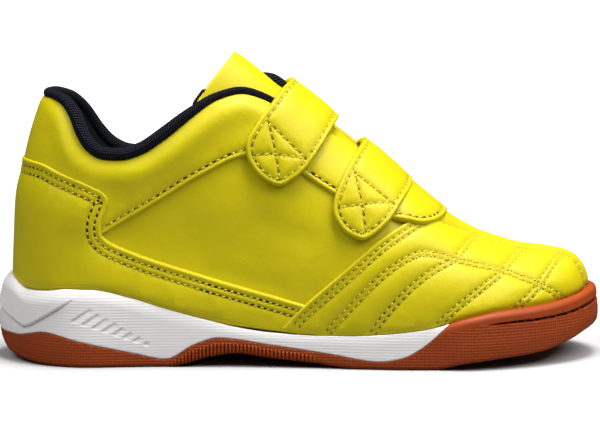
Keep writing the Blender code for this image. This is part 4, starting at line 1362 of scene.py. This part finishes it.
def tongue_lift(edge_gap, seam_gap, chart):
    """The tongue rises against the eyestay in front of the collar."""
    seat = TONGUE_CLIMB * eased(station_at(chart[:, 0]), TONGUE_CLIMB_FROM, TONGUE_CLIMB_REACH) + tongue_low
    return sewn_lift(seat, TONGUE_THICK, radius=TONGUE_EDGE)(edge_gap, seam_gap, chart)


tongue_points, tongue_faces, _ = cut_panel(
    over_ridge, tongue_outline, [], tongue_lift, RIDGE_SCALE, tongue_low
)
tongue = add_piece("tongue_leather", tongue_points, tongue_faces, [yellow_leather])
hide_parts("tongue")

backing_low = tongue_low - BACKING_THICK
backing_top, backing_faces, _ = cut_panel(
    over_ridge, beside(over_ridge, tongue_outline, BACKING_INSET, closed=True), [],
    sewn_lift(backing_low, BACKING_THICK, radius=BACKING_EDGE), RIDGE_SCALE, backing_low,
)
backing_points = np.vstack([backing_top, backing_top - np.array([0.0, 0.0, BACKING_THICK])])
backing_faces += [face[::-1] for face in shifted(backing_faces, len(backing_top))]
backing = add_piece(
    "tongue_backing", backing_points, backing_faces, [black_knit], threads=backing_points[:, :2]
)

# Tongue piping: the backing's textile turned over the tongue's two upper corners as a round black edge.
# Each corner has its own short run, sewn into the tongue's edge.
PIPING_RADIUS = 0.75
PIPING_SIDES = 10
PIPING_APART = 0.15
# side, and the station where its run ends
PIPING_ENDS = ((-1.0, -32.0), (1.0, -22.5))

piping_points = np.empty((0, 3))
piping_threads = np.empty((0, 2))
piping_faces = []
for side, end in PIPING_ENDS:
    chart = tongue_outline[side * tongue_outline[:, 1] > PIPING_APART]
    chart = chart[station_at(chart[:, 0]) < end]
    centre, out = lifted(over_ridge, chart, tongue_low + TONGUE_THICK / 2.0)
    up = np.cross(unit(np.gradient(centre, axis=0)), out)
    points, ring, quads, _, threads = tube(centre, out, up, np.full(len(centre), PIPING_RADIUS), PIPING_SIDES)
    piping_faces += shifted(face_out(points, quads, ring), len(piping_points))
    piping_points = np.vstack([piping_points, points])
    piping_threads = np.vstack([piping_threads, threads])
piping = add_piece("tongue_piping", piping_points, piping_faces, [black_knit], threads=piping_threads)

# Straps: two quilted leather bands over the throat, sewn down on the inner side and closed with hook and
# loop on the outer one. A border row runs round each, and crossed rows quilt the round free end.
STRAP_SEAT = 1.75
STRAP_SEWN_THICK = 2.1
STRAP_SEAM = 2.0
STRAP_SEAM_CLEAR = 0.93
STRAP_PUFF = 0.28
STRAP_REACH = 2.6
STRAP_EDGE = 0.6
STRAP_DIP = 0.5
STRAP_DIP_FROM = -0.46
STRAP_DIP_REACH = 0.14
STRAP_LAP = 0.3
STRAP_SPACING = 1.3
STRAP_END_POINTS = 30
FINE_BORDER_STEP = 0.1
CROSS_STEP = 0.5
# rise over the ridge, station of the rear and of the front edge
STRAP_UPPER = (
    (-0.616, -12.6, -8.8),
    (-0.604, -15.6, -6.0),
    (-0.575, -18.1, -3.2),
    (-0.53, -18.2, 0.2),
    (-0.46, -15.4, 3.8),
    (-0.33, -10.4, 7.8),
    (-0.17, -6.6, 10.6),
    (0.0, -4.6, 12.0),
    (0.17, -6.6, 10.6),
    (0.33, -10.4, 7.8),
    (0.52, -17.6, 1.4),
)
STRAP_LOWER = (
    (-0.658, 17.0, 21.0),
    (-0.644, 14.2, 23.2),
    (-0.61, 11.8, 25.8),
    (-0.56, 11.7, 28.6),
    (-0.48, 13.4, 31.6),
    (-0.33, 16.8, 34.8),
    (-0.17, 19.6, 37.0),
    (0.0, 21.0, 37.8),
    (0.17, 19.6, 37.0),
    (0.33, 16.8, 34.8),
    (0.54, 12.0, 29.6),
)
# station and rise of the crossed rows: across, then from corner to corner
CROSS_UPPER = (
    ((-11.3, -0.422), (2.0, -0.463)),
    ((-16.8, -0.57), (-8.4, -0.517), (2.0, -0.463)),
    ((-11.3, -0.422), (-8.4, -0.517), (-6.9, -0.59)),
)
CROSS_LOWER = (
    ((18.1, -0.388), (30.9, -0.416)),
    ((13.6, -0.576), (21.1, -0.515), (30.9, -0.416)),
    ((18.1, -0.388), (21.1, -0.515), (22.8, -0.625)),
)


def strap_lift(edge_gap, seam_gap, chart):
    """The free end bends down from the eyestay to the quarter."""
    seat = STRAP_SEAT - STRAP_DIP * eased(chart[:, 1], STRAP_DIP_FROM, -STRAP_DIP_REACH)
    return sewn_lift(seat, STRAP_SEWN_THICK, STRAP_PUFF, STRAP_REACH, STRAP_EDGE)(edge_gap, seam_gap, chart)


for strap_name, rows, crosses in (
    ("strap_upper", STRAP_UPPER, CROSS_UPPER),
    ("strap_lower", STRAP_LOWER, CROSS_LOWER),
):
    table = np.array(rows)
    strap_edges = np.vstack([table[::-1][:, [1, 0]], table[:, [2, 0]]])
    strap_outline = joined(STRAP_END_POINTS, ridge_chart(fair_line(strap_edges)))
    border = inside_left(along_line(over_ridge, strap_outline, LINE_STEP, closed=True))
    border_gap = gap_to(over_ridge(along_line(over_ridge, border, FINE_BORDER_STEP, closed=True)))
    border_seam = beside(over_ridge, border, STRAP_SEAM, closed=True)
    border_seam = border_seam[border_gap(over_ridge(border_seam)) > STRAP_SEAM_CLEAR * STRAP_SEAM]
    strap_seams = [np.vstack([border_seam, border_seam[:1]])]
    for cross in crosses:
        cross_line = along_line(over_ridge, ridge_chart(fair_line(cross)), CROSS_STEP)
        strap_seams.append(cross_line[border_gap(over_ridge(cross_line)) > STRAP_SEAM])
    strap_points, strap_faces, strap_shade_marks = cut_panel(
        over_ridge, strap_outline, strap_seams, strap_lift, RIDGE_SCALE, STRAP_SEAT - STRAP_DIP - STRAP_LAP,
        spacing=STRAP_SPACING,
    )
    strap = add_piece(strap_name + "_leather", strap_points, strap_faces, [yellow_leather], shade_marks=strap_shade_marks)
    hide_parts(strap_name)
    strap_runs = [(over_ridge, strap_seams, strap_lift, STITCH_WIDE_PITCH)]
    strap_stitching = add_stitches(strap_name + "_stitching", strap_runs, faint_hole_shade)

# Insole: a black textile sock on foam, lying on the floor of the cup inside the lining.
# Its edge turns up a little all round, and it is glued in last of all.
INSOLE_COLUMNS = 160
INSOLE_ROWS = 30
INSOLE_ENDS = (0.02, 0.98)
INSOLE_SHORT = 0.98
INSOLE_MARGIN = 2.4
INSOLE_HALF_LEAST = 0.5
INSOLE_LIFT = 2.7
INSOLE_CUP = 1.6
INSOLE_CUP_POWER = 6

insole_x = station_at(np.linspace(*INSOLE_ENDS, INSOLE_COLUMNS))
insole_outer, insole_inner = (
    last_point(insole_x, np.full(INSOLE_COLUMNS, side))[:, 1] for side in (-1.0, 1.0)
)
insole_across = np.linspace(-1.0, 1.0, INSOLE_ROWS)
insole_half = np.maximum((insole_inner - insole_outer) / 2.0 - INSOLE_MARGIN, INSOLE_HALF_LEAST)
insole_grid = grid_of(
    insole_x[:, None] * INSOLE_SHORT,
    ((insole_outer + insole_inner) / 2.0)[:, None] + insole_half[:, None] * insole_across,
    base_of(insole_x)[:, None] + INSOLE_LIFT + INSOLE_CUP * insole_across ** INSOLE_CUP_POWER,
)
insole_mesh = grid_mesh(insole_grid, np.array([0.0, 0.0, 1.0]))
insole = add_piece("insole_sock", *insole_mesh, [black_lining], threads=insole_grid[..., :2])
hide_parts("insole")

# Midsole: a white moulded foam cup with a fine ribbed skin. Its heel piece stands proud above a V-shaped
# step, and a slanting row of louvres is sunk in each side. The upper is glued into it, and it meets the
# rubber along a wave.
RIM = 3.6
EDGE_ROUND = 1.6
RIM_DOWN = 4.5
RIM_DOWN_MOST = 0.3
LIP_ROUND = 2.0
LIP_ROUND_FROM = 46.0
LIP_ROUND_REACH = 12.0
LIP = 3.3
LIP_MOST = 0.3
LIP_GROWTH = 0.3
LIP_GROWTH_FROM = 70.0
LIP_GROWTH_REACH = 30.0
LIP_GROOVE = 1.5
LIP_GROOVE_FROM = 63.0
LIP_GROOVE_REACH = 7.0
# the groove's upper and lower edge as multiples of the lip's height, and the width of its walls
LIP_GROOVE_SPAN = (1.0, 1.28)
LIP_GROOVE_WALL = 0.08
# station, the tread's face, and the wall's extra reach below the rim
SOLE = np.array((
    (-105.0, 6.6, 4.5),
    (-101.0, 2.6, 4.5),
    (-94.0, 0.8, 2.0),
    (-86.0, 0.1, 1.3),
    (-80.0, 0.0, 1.1),
    (-72.0, 0.0, 1.0),
    (-58.0, 0.0, 0.3),
    (-45.0, 0.0, 0.3),
    (-30.0, 3.6, 0.3),
    (-22.0, 4.7, 0.3),
    (-10.0, 3.2, 0.3),
    (6.0, 1.6, 0.3),
    (20.0, 0.0, 0.3),
    (32.0, 0.0, 0.3),
    (46.0, 0.0, 0.3),
    (57.0, 2.2, 1.0),
    (67.0, 3.3, 1.0),
    (84.0, 4.8, 1.0),
    (94.0, 7.4, 1.1),
    (100.0, 9.6, 1.1),
    (105.0, 10.9, 1.1),
))
# share of the wall's height, and of its extra reach there
WALL_SWELL = np.array(((0.0, 0.75), (0.3, 1.0), (0.5, 0.8), (0.75, 0.5), (1.0, 0.1)))
# station, and how far the rim slopes in
RIM_SLOPE = np.array(((-112.0, 1.6), (-70.0, 1.3), (-45.0, 0.5), (44.0, 0.4), (60.0, 1.6)))
# station and height of the line where white meets rubber
WAVE = np.array((
    (-112.0, 10.6),
    (-99.0, 9.6),
    (-88.0, 11.6),
    (-77.0, 9.3),
    (-56.5, 4.7),
    (-46.0, 2.7),
    (-36.0, 7.8),
    (-28.0, 10.2),
    (-10.0, 7.9),
    (10.0, 5.2),
    (27.5, 2.8),
    (35.5, 4.1),
    (41.0, 6.9),
    (53.5, 17.6),
))
WAVE_STEPS = 180
WAVE_SOFT_POINTS = 5
WAVE_BELL = 1.5
WAVE_MOST = 0.995
# station and height of the heel's V step
V_STEP = np.array((
    (-112.0, 21.5),
    (-103.0, 16.6),
    (-95.5, 12.8),
    (-92.5, 14.0),
    (-87.3, 17.4),
    (-78.3, 23.2),
))
V_PROUD = 0.9
V_SOFT = 0.25
V_CUT = 0.8
V_CUT_WIDE = 0.35
V_END = -76.5
V_FADE = 7.5
LOUVRE_FIRST = np.array((-75.0, 18.4))
LOUVRE_LAST = np.array((-53.0, 8.5))
LOUVRE_LONG = 8.2
LOUVRE_SHORT = 2.2
LOUVRE_SLANT = math.radians(34.0)
LOUVRES = 8
LOUVRE_DEPTH = 0.48
LOUVRE_STEEP = 1.25
LOUVRE_POWER = 1.5
LOUVRE_UPPER_END = 1.3
LOUVRE_LOWER_END = 0.35
LOUVRE_ZONE = (-80.0, -47.0)
LOUVRE_GRID = 0.24
SOLE_SIDE_POINTS = 700
MIDSOLE_ROWS = 76
MIDSOLE_ROWS_EVEN = 0.7
PARTING = 0.4
PARTING_WIDE = 0.5
PARTING_TUCK = -3.0
CUP_SEAT = 1.5
CUP_LEDGE = CUP_SEAT - RIM
CUP_INSIDE = 3.0
SOLE_RIB_PITCH = 1.0
SOLE_BAR_PITCH = 0.9
SPECK_SCALE = 1500.0
STAIN_SCALE = 38.0
SOLE_ROUGH = 0.4
SOLE_ROUGH_STAIN = 0.16
SOLE_DEEP = 0.06
SOLE_GLOSS = 0.2
FOAM_WHITE = (0.8, 0.785, 0.775, 1.0)
FOAM_SHADE = (0.75, 0.735, 0.725, 1.0)

bottom_of, swell_of = curves(SOLE)
rim_slope = curves(RIM_SLOPE)[0]
wave_of = curves(WAVE)[0]
swell_share = curves(WALL_SWELL)[0]
sole_x = station_at(np.linspace(0.0, 1.0, SOLE_SIDE_POINTS + 1))
sole_plain = (sole_x < LOUVRE_ZONE[0] - LOUVRE_GRID) | (sole_x > LOUVRE_ZONE[1] + LOUVRE_GRID)
sole_x = np.sort(np.concatenate([sole_x[sole_plain], np.arange(*LOUVRE_ZONE, LOUVRE_GRID)]))
sole_lateral, sole_medial = (last_point(sole_x, np.full_like(sole_x, side))[:, :2] for side in (-1.0, 1.0))
sole_edge = np.vstack([sole_lateral, sole_medial[-2:0:-1]])
sole_ahead = unit(np.roll(sole_edge, -1, 0) - np.roll(sole_edge, 1, 0))
sole_out = np.stack([sole_ahead[:, 1], -sole_ahead[:, 0]], axis=1)
sole_outward = np.pad(sole_out, ((0, 0), (0, 1)))
sole_run = run_along(sole_edge)
sole_columns = len(sole_edge)
sole_tall = rim_of(sole_edge[:, 0]) - bottom_of(sole_edge[:, 0])


def wall_tall(columns):
    """Stations of the wall's rim, and the wall's height there."""
    near = sole_edge[columns, 0:1] + sole_out[columns, 0:1] * RIM
    return near, rim_of(near) - bottom_of(near)


def below_rim(share, columns=slice(None)):
    """How far the wall's points lie under the rim, as a multiple of the lip's height."""
    near, tall = wall_tall(columns)
    growth = LIP_GROWTH * ramp(near, LIP_GROWTH_FROM, LIP_GROWTH_REACH)
    lip = np.minimum(LIP, LIP_MOST * tall) * (1.0 + growth)
    return (1.0 - share) * tall / lip


def lip_groove(share, columns=slice(None)):
    """Share of the lip groove's full depth, 1 in the groove round the toe."""
    fade = ramp(sole_edge[columns, 0:1], LIP_GROOVE_FROM, LIP_GROOVE_REACH)
    below = below_rim(share, columns)
    upper, lower = LIP_GROOVE_SPAN
    return fade * ramp(below, upper, LIP_GROOVE_WALL) * ramp(below, lower, -LIP_GROOVE_WALL)


def sole_wall(share, extra=0.0, columns=slice(None)):
    """Points of the sole's wall for shares of its height, one row of shares for each point of the edge."""
    edge = sole_edge[columns]
    station = edge[:, 0:1]
    tall = wall_tall(columns)[1]
    slope = rim_slope(station)
    down = (1.0 - share) * tall
    reach = RIM + slope - RIM_SLOPE[0, 1] + swell_of(station) * swell_share(share)
    reach = reach - EDGE_ROUND * (1.0 - quarter_round(share * tall, 0.0, EDGE_ROUND))
    lipped = ramp(station, LIP_ROUND_FROM, LIP_ROUND_REACH)
    bevel = (1.0 - ramp(down, 0.0, np.minimum(RIM_DOWN, RIM_DOWN_MOST * tall))) ** 2
    bead = 1.0 - quarter_round(down, 0.0, LIP_ROUND)
    reach = reach - slope * bevel * (1.0 - lipped) - LIP_ROUND * bead * lipped
    reach = reach - LIP_GROOVE * lip_groove(share, columns) + extra
    spot = edge[:, None] + sole_out[columns][:, None] * reach[..., None]
    x = spot[..., 0]
    return np.concatenate([spot, (bottom_of(x) + share * (rim_of(x) - bottom_of(x)))[..., None]], axis=-1)


probe = sole_wall(np.repeat(np.linspace(0.0, 1.0, WAVE_STEPS + 1)[None], sole_columns, axis=0))
above_wave = (probe[..., 2] > wave_of(probe[..., 0])) & (probe[..., 0] < WAVE[-1, 0])
wave_share = np.where(above_wave.any(axis=1), np.argmax(above_wave, axis=1) / WAVE_STEPS, 1.0)
wave_share = soften(wave_share, WAVE_BELL, WAVE_SOFT_POINTS, "wrap")[:, None]
has_white = wave_share < WAVE_MOST


def v_step_lift(x, z):
    """How far the heel piece stands out above its V step."""
    line = np.interp(x, V_STEP[:, 0], V_STEP[:, 1])
    cut = V_CUT * np.exp(-(((z - line + V_SOFT) / V_CUT_WIDE) ** 2))
    return (V_PROUD * eased(z, line, V_SOFT) - cut) * eased(x, V_END, -V_FADE)


def louvre_depth(x, z):
    """Depth of the slanted louvres: each has a sharp rear edge and slopes out forwards."""
    along = np.array((math.cos(LOUVRE_SLANT), math.sin(LOUVRE_SLANT)))
    run = LOUVRE_LAST - LOUVRE_FIRST
    across = (x - LOUVRE_FIRST[0]) * along[1] - (z - LOUVRE_FIRST[1]) * along[0]
    part = across / (run[0] * along[1] - run[1] * along[0])
    up = (x - LOUVRE_FIRST[0] - part * run[0]) * along[0] + (z - LOUVRE_FIRST[1] - part * run[1]) * along[1]
    half = (LOUVRE_LONG + np.clip(part, 0.0, 1.0) * (LOUVRE_SHORT - LOUVRE_LONG)) / 2.0
    phase = part * (LOUVRES - 1)
    slope = np.clip(1.0 - LOUVRE_STEEP * (phase - np.floor(phase)), 0.0, 1.0) ** LOUVRE_POWER
    inside = ramp(np.abs(up), half, -np.where(up > 0.0, LOUVRE_UPPER_END, LOUVRE_LOWER_END))
    return LOUVRE_DEPTH * slope * inside * ((phase >= 0.0) & (phase < LOUVRES))


moulded_skin, moulded_in, moulded_out = new_group(
    "moulded_skin", ("Colour", "Shade"), ("Rows", "Columns"), ("Roughness", "Height")
)
moulded_map = thread_map(moulded_skin)
ribs = waves(moulded_skin, moulded_map["Y"], SOLE_RIB_PITCH)
bars = waves(moulded_skin, moulded_map["X"], SOLE_BAR_PITCH)
speck = noise_at(moulded_skin, SPECK_SCALE, detail=2.0)
stain = noise_at(moulded_skin, STAIN_SCALE, detail=3.0)
set_inputs(moulded_skin, moulded_out, {
    "Colour": mix_colours(moulded_skin, stain, moulded_in["Colour"], moulded_in["Shade"]),
    "Roughness": weighed(moulded_skin, SOLE_ROUGH, (stain, SOLE_ROUGH_STAIN)),
    "Height": weighed(moulded_skin, speck, (ribs, moulded_in["Rows"]), (bars, moulded_in["Columns"])),
})


def moulded_material(name, colour, shade, rows, columns, bump):
    values = {"Colour": colour, "Shade": shade, "Rows": rows, "Columns": columns}
    return skin_material(name, moulded_skin, values, bump, SOLE_DEEP, {"Specular IOR Level": SOLE_GLOSS})


white_foam = moulded_material("white_foam", FOAM_WHITE, FOAM_SHADE, rows=1.0, columns=0.0, bump=0.3)

white_columns = np.flatnonzero(has_white)
white_columns = np.roll(white_columns, -1 - int(np.argmax(np.diff(white_columns))))
cup_rows = np.linspace(0.0, 1.0, MIDSOLE_ROWS)
cup_rows = MIDSOLE_ROWS_EVEN * cup_rows + (1.0 - MIDSOLE_ROWS_EVEN) * (1.0 - np.cos(math.pi * cup_rows)) / 2.0
cup_foot = wave_share[white_columns]
cup_share = cup_foot + (1.0 - cup_foot) * cup_rows
cup_x, _, cup_z = np.moveaxis(sole_wall(cup_share, 0.0, white_columns), -1, 0)
cup_relief = v_step_lift(cup_x, cup_z) - louvre_depth(cup_x, cup_z)
cup_above = (cup_share - cup_foot) * sole_tall[white_columns][:, None]
cup_relief -= PARTING * (1.0 - ramp(cup_above, 0.0, PARTING_WIDE)) ** 2
cup_ledge = sole_wall(np.ones_like(cup_foot), CUP_LEDGE, white_columns)
cup_grid = np.concatenate([
    sole_wall(cup_foot, PARTING_TUCK, white_columns),
    sole_wall(cup_share, cup_relief, white_columns),
    cup_ledge,
    cup_ledge - np.array([0.0, 0.0, CUP_INSIDE]),
], axis=1)
cup_threads = grid_of(sole_run[white_columns][:, None], cup_grid[..., 2])
cup_mesh = grid_mesh(cup_grid, sole_outward[white_columns][:, None])
midsole = add_piece("midsole_cup", *cup_mesh, [white_foam], threads=cup_threads)
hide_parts("midsole")

# Outsole: brown gum rubber moulded in one piece and glued under the cup, with a fine net on its wall. Round
# the toe it wraps up as a lip with a sewn groove, and its tread has swept grooves under heel and ball and
# small cross ribs in the arch.
OUTSOLE_ROWS = 52
OUTSOLE_ROWS_EVEN = 0.5
OUTSOLE_INSIDE = 2.0
LIP_SMOOTH_FROM = 48.0
GROOVE_SHARE = 0.55
GUM_SLOT, GROOVE_SHADE_SLOT, LIP_SLOT = range(3)
HEEL_GROOVES = (-75.0, -67.0, -59.0)
BALL_GROOVES = (26.0, 34.0, 42.0, 50.0, 58.0, 66.0, 74.0, 82.0)
GROOVE_HALF = 1.0
GROOVE_DEEP = 1.4
GROOVE_WALL = 0.15
SWEEP = 7.0
SWEEP_HALF = 20.0
SWEEP_OUTER = 0.3
ARCH_FROM = -46.0
ARCH_TO = 8.0
ARCH_REAR_FADE = 4.0
ARCH_FRONT_FADE = 6.0
ARCH_PITCH = 2.0
ARCH_HALF = 0.45
ARCH_DEEP = 1.2
ARCH_PROUD = 0.5
ARCH_HIGH = 0.72
ARCH_HIGH_FADE = 0.06
ARCH_RIB_COLUMNS = 3
TREAD_BORDER = 0.6
TREAD_HALF = 38.0
TREAD_ACROSS_POINTS = 39
# first and last place and step of the plain points along and across the tread
TREAD_ALONG = (-98.0, 100.0, 3.1)
TREAD_ACROSS = (-36.0, 37.0, 6.0)
TREAD_EXACT = 1e-5
TREAD_CREASE = math.radians(50.0)
GUM = (0.33, 0.054, 0.008, 1.0)
GUM_SHADE = (0.26, 0.038, 0.005, 1.0)
# near-black rubber for the lip groove: painted shade for the deep groove
GROOVE_SHADE_GUM = (0.035, 0.008, 0.003, 1.0)


def swept(y):
    """How far a tread groove lies back at a place across the sole."""
    side = np.abs(y) / SWEEP_HALF
    return SWEEP * np.where(side < 1.0, side, 1.0 + (side - 1.0) * SWEEP_OUTER)


def tread_depth(x, y):
    """Depth of the tread's grooves at a place of the sole's face."""
    depth = np.zeros_like(x)
    for station in HEEL_GROOVES + BALL_GROOVES:
        away = np.abs(x + swept(y) - station)
        depth = np.maximum(depth, GROOVE_DEEP * ramp(away, GROOVE_HALF, -GROOVE_WALL))
    nearest = np.round((x - ARCH_FROM) / ARCH_PITCH) * ARCH_PITCH + ARCH_FROM
    inside = (nearest >= ARCH_FROM) & (nearest < ARCH_TO)
    return np.maximum(depth, ARCH_DEEP * ramp(np.abs(x - nearest), ARCH_HALF, -GROOVE_WALL) * inside)


gum_rubber = moulded_material("gum_rubber", GUM, GUM_SHADE, rows=0.8, columns=0.8, bump=1.0)
# The lip groove's faces take the near-black rubber, painted shade for the groove's depth.
groove_shade_rubber = moulded_material("groove_shade_rubber", GROOVE_SHADE_GUM, GROOVE_SHADE_GUM, rows=0.0, columns=0.0, bump=0.3)
lip_rubber = moulded_material("lip_rubber", GUM, GUM_SHADE, rows=0.0, columns=0.0, bump=0.2)

outsole_rows = np.linspace(0.0, 1.0, OUTSOLE_ROWS)
outsole_bunched = (1.0 - np.cos(math.pi * outsole_rows)) / 2.0
outsole_rows = OUTSOLE_ROWS_EVEN * outsole_rows + (1.0 - OUTSOLE_ROWS_EVEN) * outsole_bunched
outsole_share = wave_share * outsole_rows
under_wave = (wave_share - outsole_share) * sole_tall[:, None]
outsole_parting = PARTING * (1.0 - ramp(under_wave, 0.0, PARTING_WIDE)) ** 2 * has_white
arch_zone = ramp(sole_edge[:, 0:1], ARCH_FROM, ARCH_REAR_FADE)
arch_zone = arch_zone * ramp(sole_edge[:, 0:1], ARCH_TO, -ARCH_FRONT_FADE)
arch_gap = np.arange(sole_columns)[:, None] % ARCH_RIB_COLUMNS == ARCH_RIB_COLUMNS - 1
arch_ribs = ARCH_PROUD * arch_zone * np.where(arch_gap, -1.0, 1.0)
arch_ribs = arch_ribs * ramp(outsole_share, ARCH_HIGH * wave_share, -ARCH_HIGH_FADE)
outsole_tuck = sole_wall(wave_share, np.where(has_white, PARTING_TUCK, CUP_LEDGE))
outsole_grid = np.concatenate([
    sole_wall(outsole_share, arch_ribs - outsole_parting),
    outsole_tuck,
    outsole_tuck - np.array([0.0, 0.0, OUTSOLE_INSIDE]),
], axis=1)
outsole_threads = grid_of(sole_run[:, None], outsole_grid[..., 2])
outsole_points, outsole_faces = grid_mesh(outsole_grid, sole_outward[:, None], closed=True)
lip_zone = (below_rim(outsole_share) < 1.0) & (sole_edge[:, 0:1] > LIP_SMOOTH_FROM)
groove_shade_mask, lip_mask = (
    np.pad(mask, ((0, 0), (0, 2))).ravel() for mask in (lip_groove(outsole_share), lip_zone)
)
outsole_slots = [
    GROOVE_SHADE_SLOT if groove_shade_mask[list(face)].mean() > GROOVE_SHARE
    else LIP_SLOT if lip_mask[list(face)].all() else GUM_SLOT
    for face in outsole_faces
]

tread_ring = outsole_grid[:, 0, :2]
tread_flat = [Vector(point) for point in tread_ring.tolist()]
tread_edges = []
across_run = np.linspace(-TREAD_HALF, TREAD_HALF, TREAD_ACROSS_POINTS)
groove_lines = [(station, 1.0, GROOVE_HALF) for station in HEEL_GROOVES + BALL_GROOVES]
groove_lines += [(station, 0.0, ARCH_HALF) for station in np.arange(ARCH_FROM, ARCH_TO, ARCH_PITCH)]
for station, sweep, half in groove_lines:
    for shift in (-half, -half + GROOVE_WALL, half - GROOVE_WALL, half):
        first = len(tread_flat)
        tread_flat += [Vector((float(station + shift - sweep * swept(y)), float(y))) for y in across_run]
        tread_edges += [(first + i, first + i + 1) for i in range(len(across_run) - 1)]
tread_fill = [(x, y) for x in np.arange(*TREAD_ALONG) for y in np.arange(*TREAD_ACROSS)]
tread_flat += [Vector((float(x), float(y))) for x, y in tread_fill]
tread_found = delaunay_2d_cdt(tread_flat, tread_edges, [list(range(sole_columns))], 1, TREAD_EXACT)
tread_xy = np.array([list(v) for v in tread_found[0]])
tread_level = np.pad(tread_xy, ((0, 0), (0, 1)))
tread_inset = gap_to(np.pad(tread_ring, ((0, 0), (0, 1))))(tread_level)
tread_depths = tread_depth(*tread_xy.T) * ramp(tread_inset, TREAD_BORDER, TREAD_BORDER)
tread_points = np.column_stack([tread_xy, bottom_of(tread_xy[:, 0]) + tread_depths])
tread_faces = face_out(tread_points, tread_found[2], np.broadcast_to((0.0, 0.0, -1.0), tread_points.shape))
outsole = add_piece(
    "outsole_rubber",
    np.vstack([outsole_points, tread_points]),
    outsole_faces + shifted(tread_faces, len(outsole_points)),
    [gum_rubber, groove_shade_rubber, lip_rubber],
    slots=outsole_slots + [GUM_SLOT] * len(tread_faces),
    threads=np.vstack([outsole_threads.reshape(-1, 2), tread_xy]),
)
outsole.data.set_sharp_from_angle(angle=TREAD_CREASE)
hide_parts("outsole")

# Toe seam: a coarse brown thread, waxed and a little shiny, sewn through the cup in the lip's groove.
# It holds the rubber to the upper round the toe.
TOE_PITCH = 3.2
TOE_SEAM_FROM = 69.0
TOE_SEAM_DOWN = 1.14
TOE_SEAM_PROUD = 0.15
THREAD_BROWN = (0.22, 0.085, 0.045, 1.0)

toe_columns = np.flatnonzero(sole_edge[:, 0] > TOE_SEAM_FROM)
toe_row = sole_wall(1.0 - TOE_SEAM_DOWN / below_rim(0.0, toe_columns), TOE_SEAM_PROUD, toe_columns)[:, 0]
toe_run = run_along(toe_row)
toe_even = np.linspace(0.0, toe_run[-1], int(toe_run[-1] / TOE_PITCH) + 1)
toe_nodes = at_lengths(toe_row, toe_run, toe_even)
toe_normal = at_lengths(sole_outward[toe_columns], toe_run, toe_even)
brown_thread, brown_tree, brown_shader = new_material("brown_thread")
set_inputs(brown_tree, brown_shader, {"Base Color": THREAD_BROWN, "Roughness": 0.35})
# The toe seam's needle holes are discs of the groove's painted shade.
toe_points, toe_faces, toe_slots = stitch_mesh(toe_nodes, toe_normal)
toe_seam = add_piece("toe_seam", toe_points, toe_faces, [brown_thread, groove_shade_rubber], slots=toe_slots)
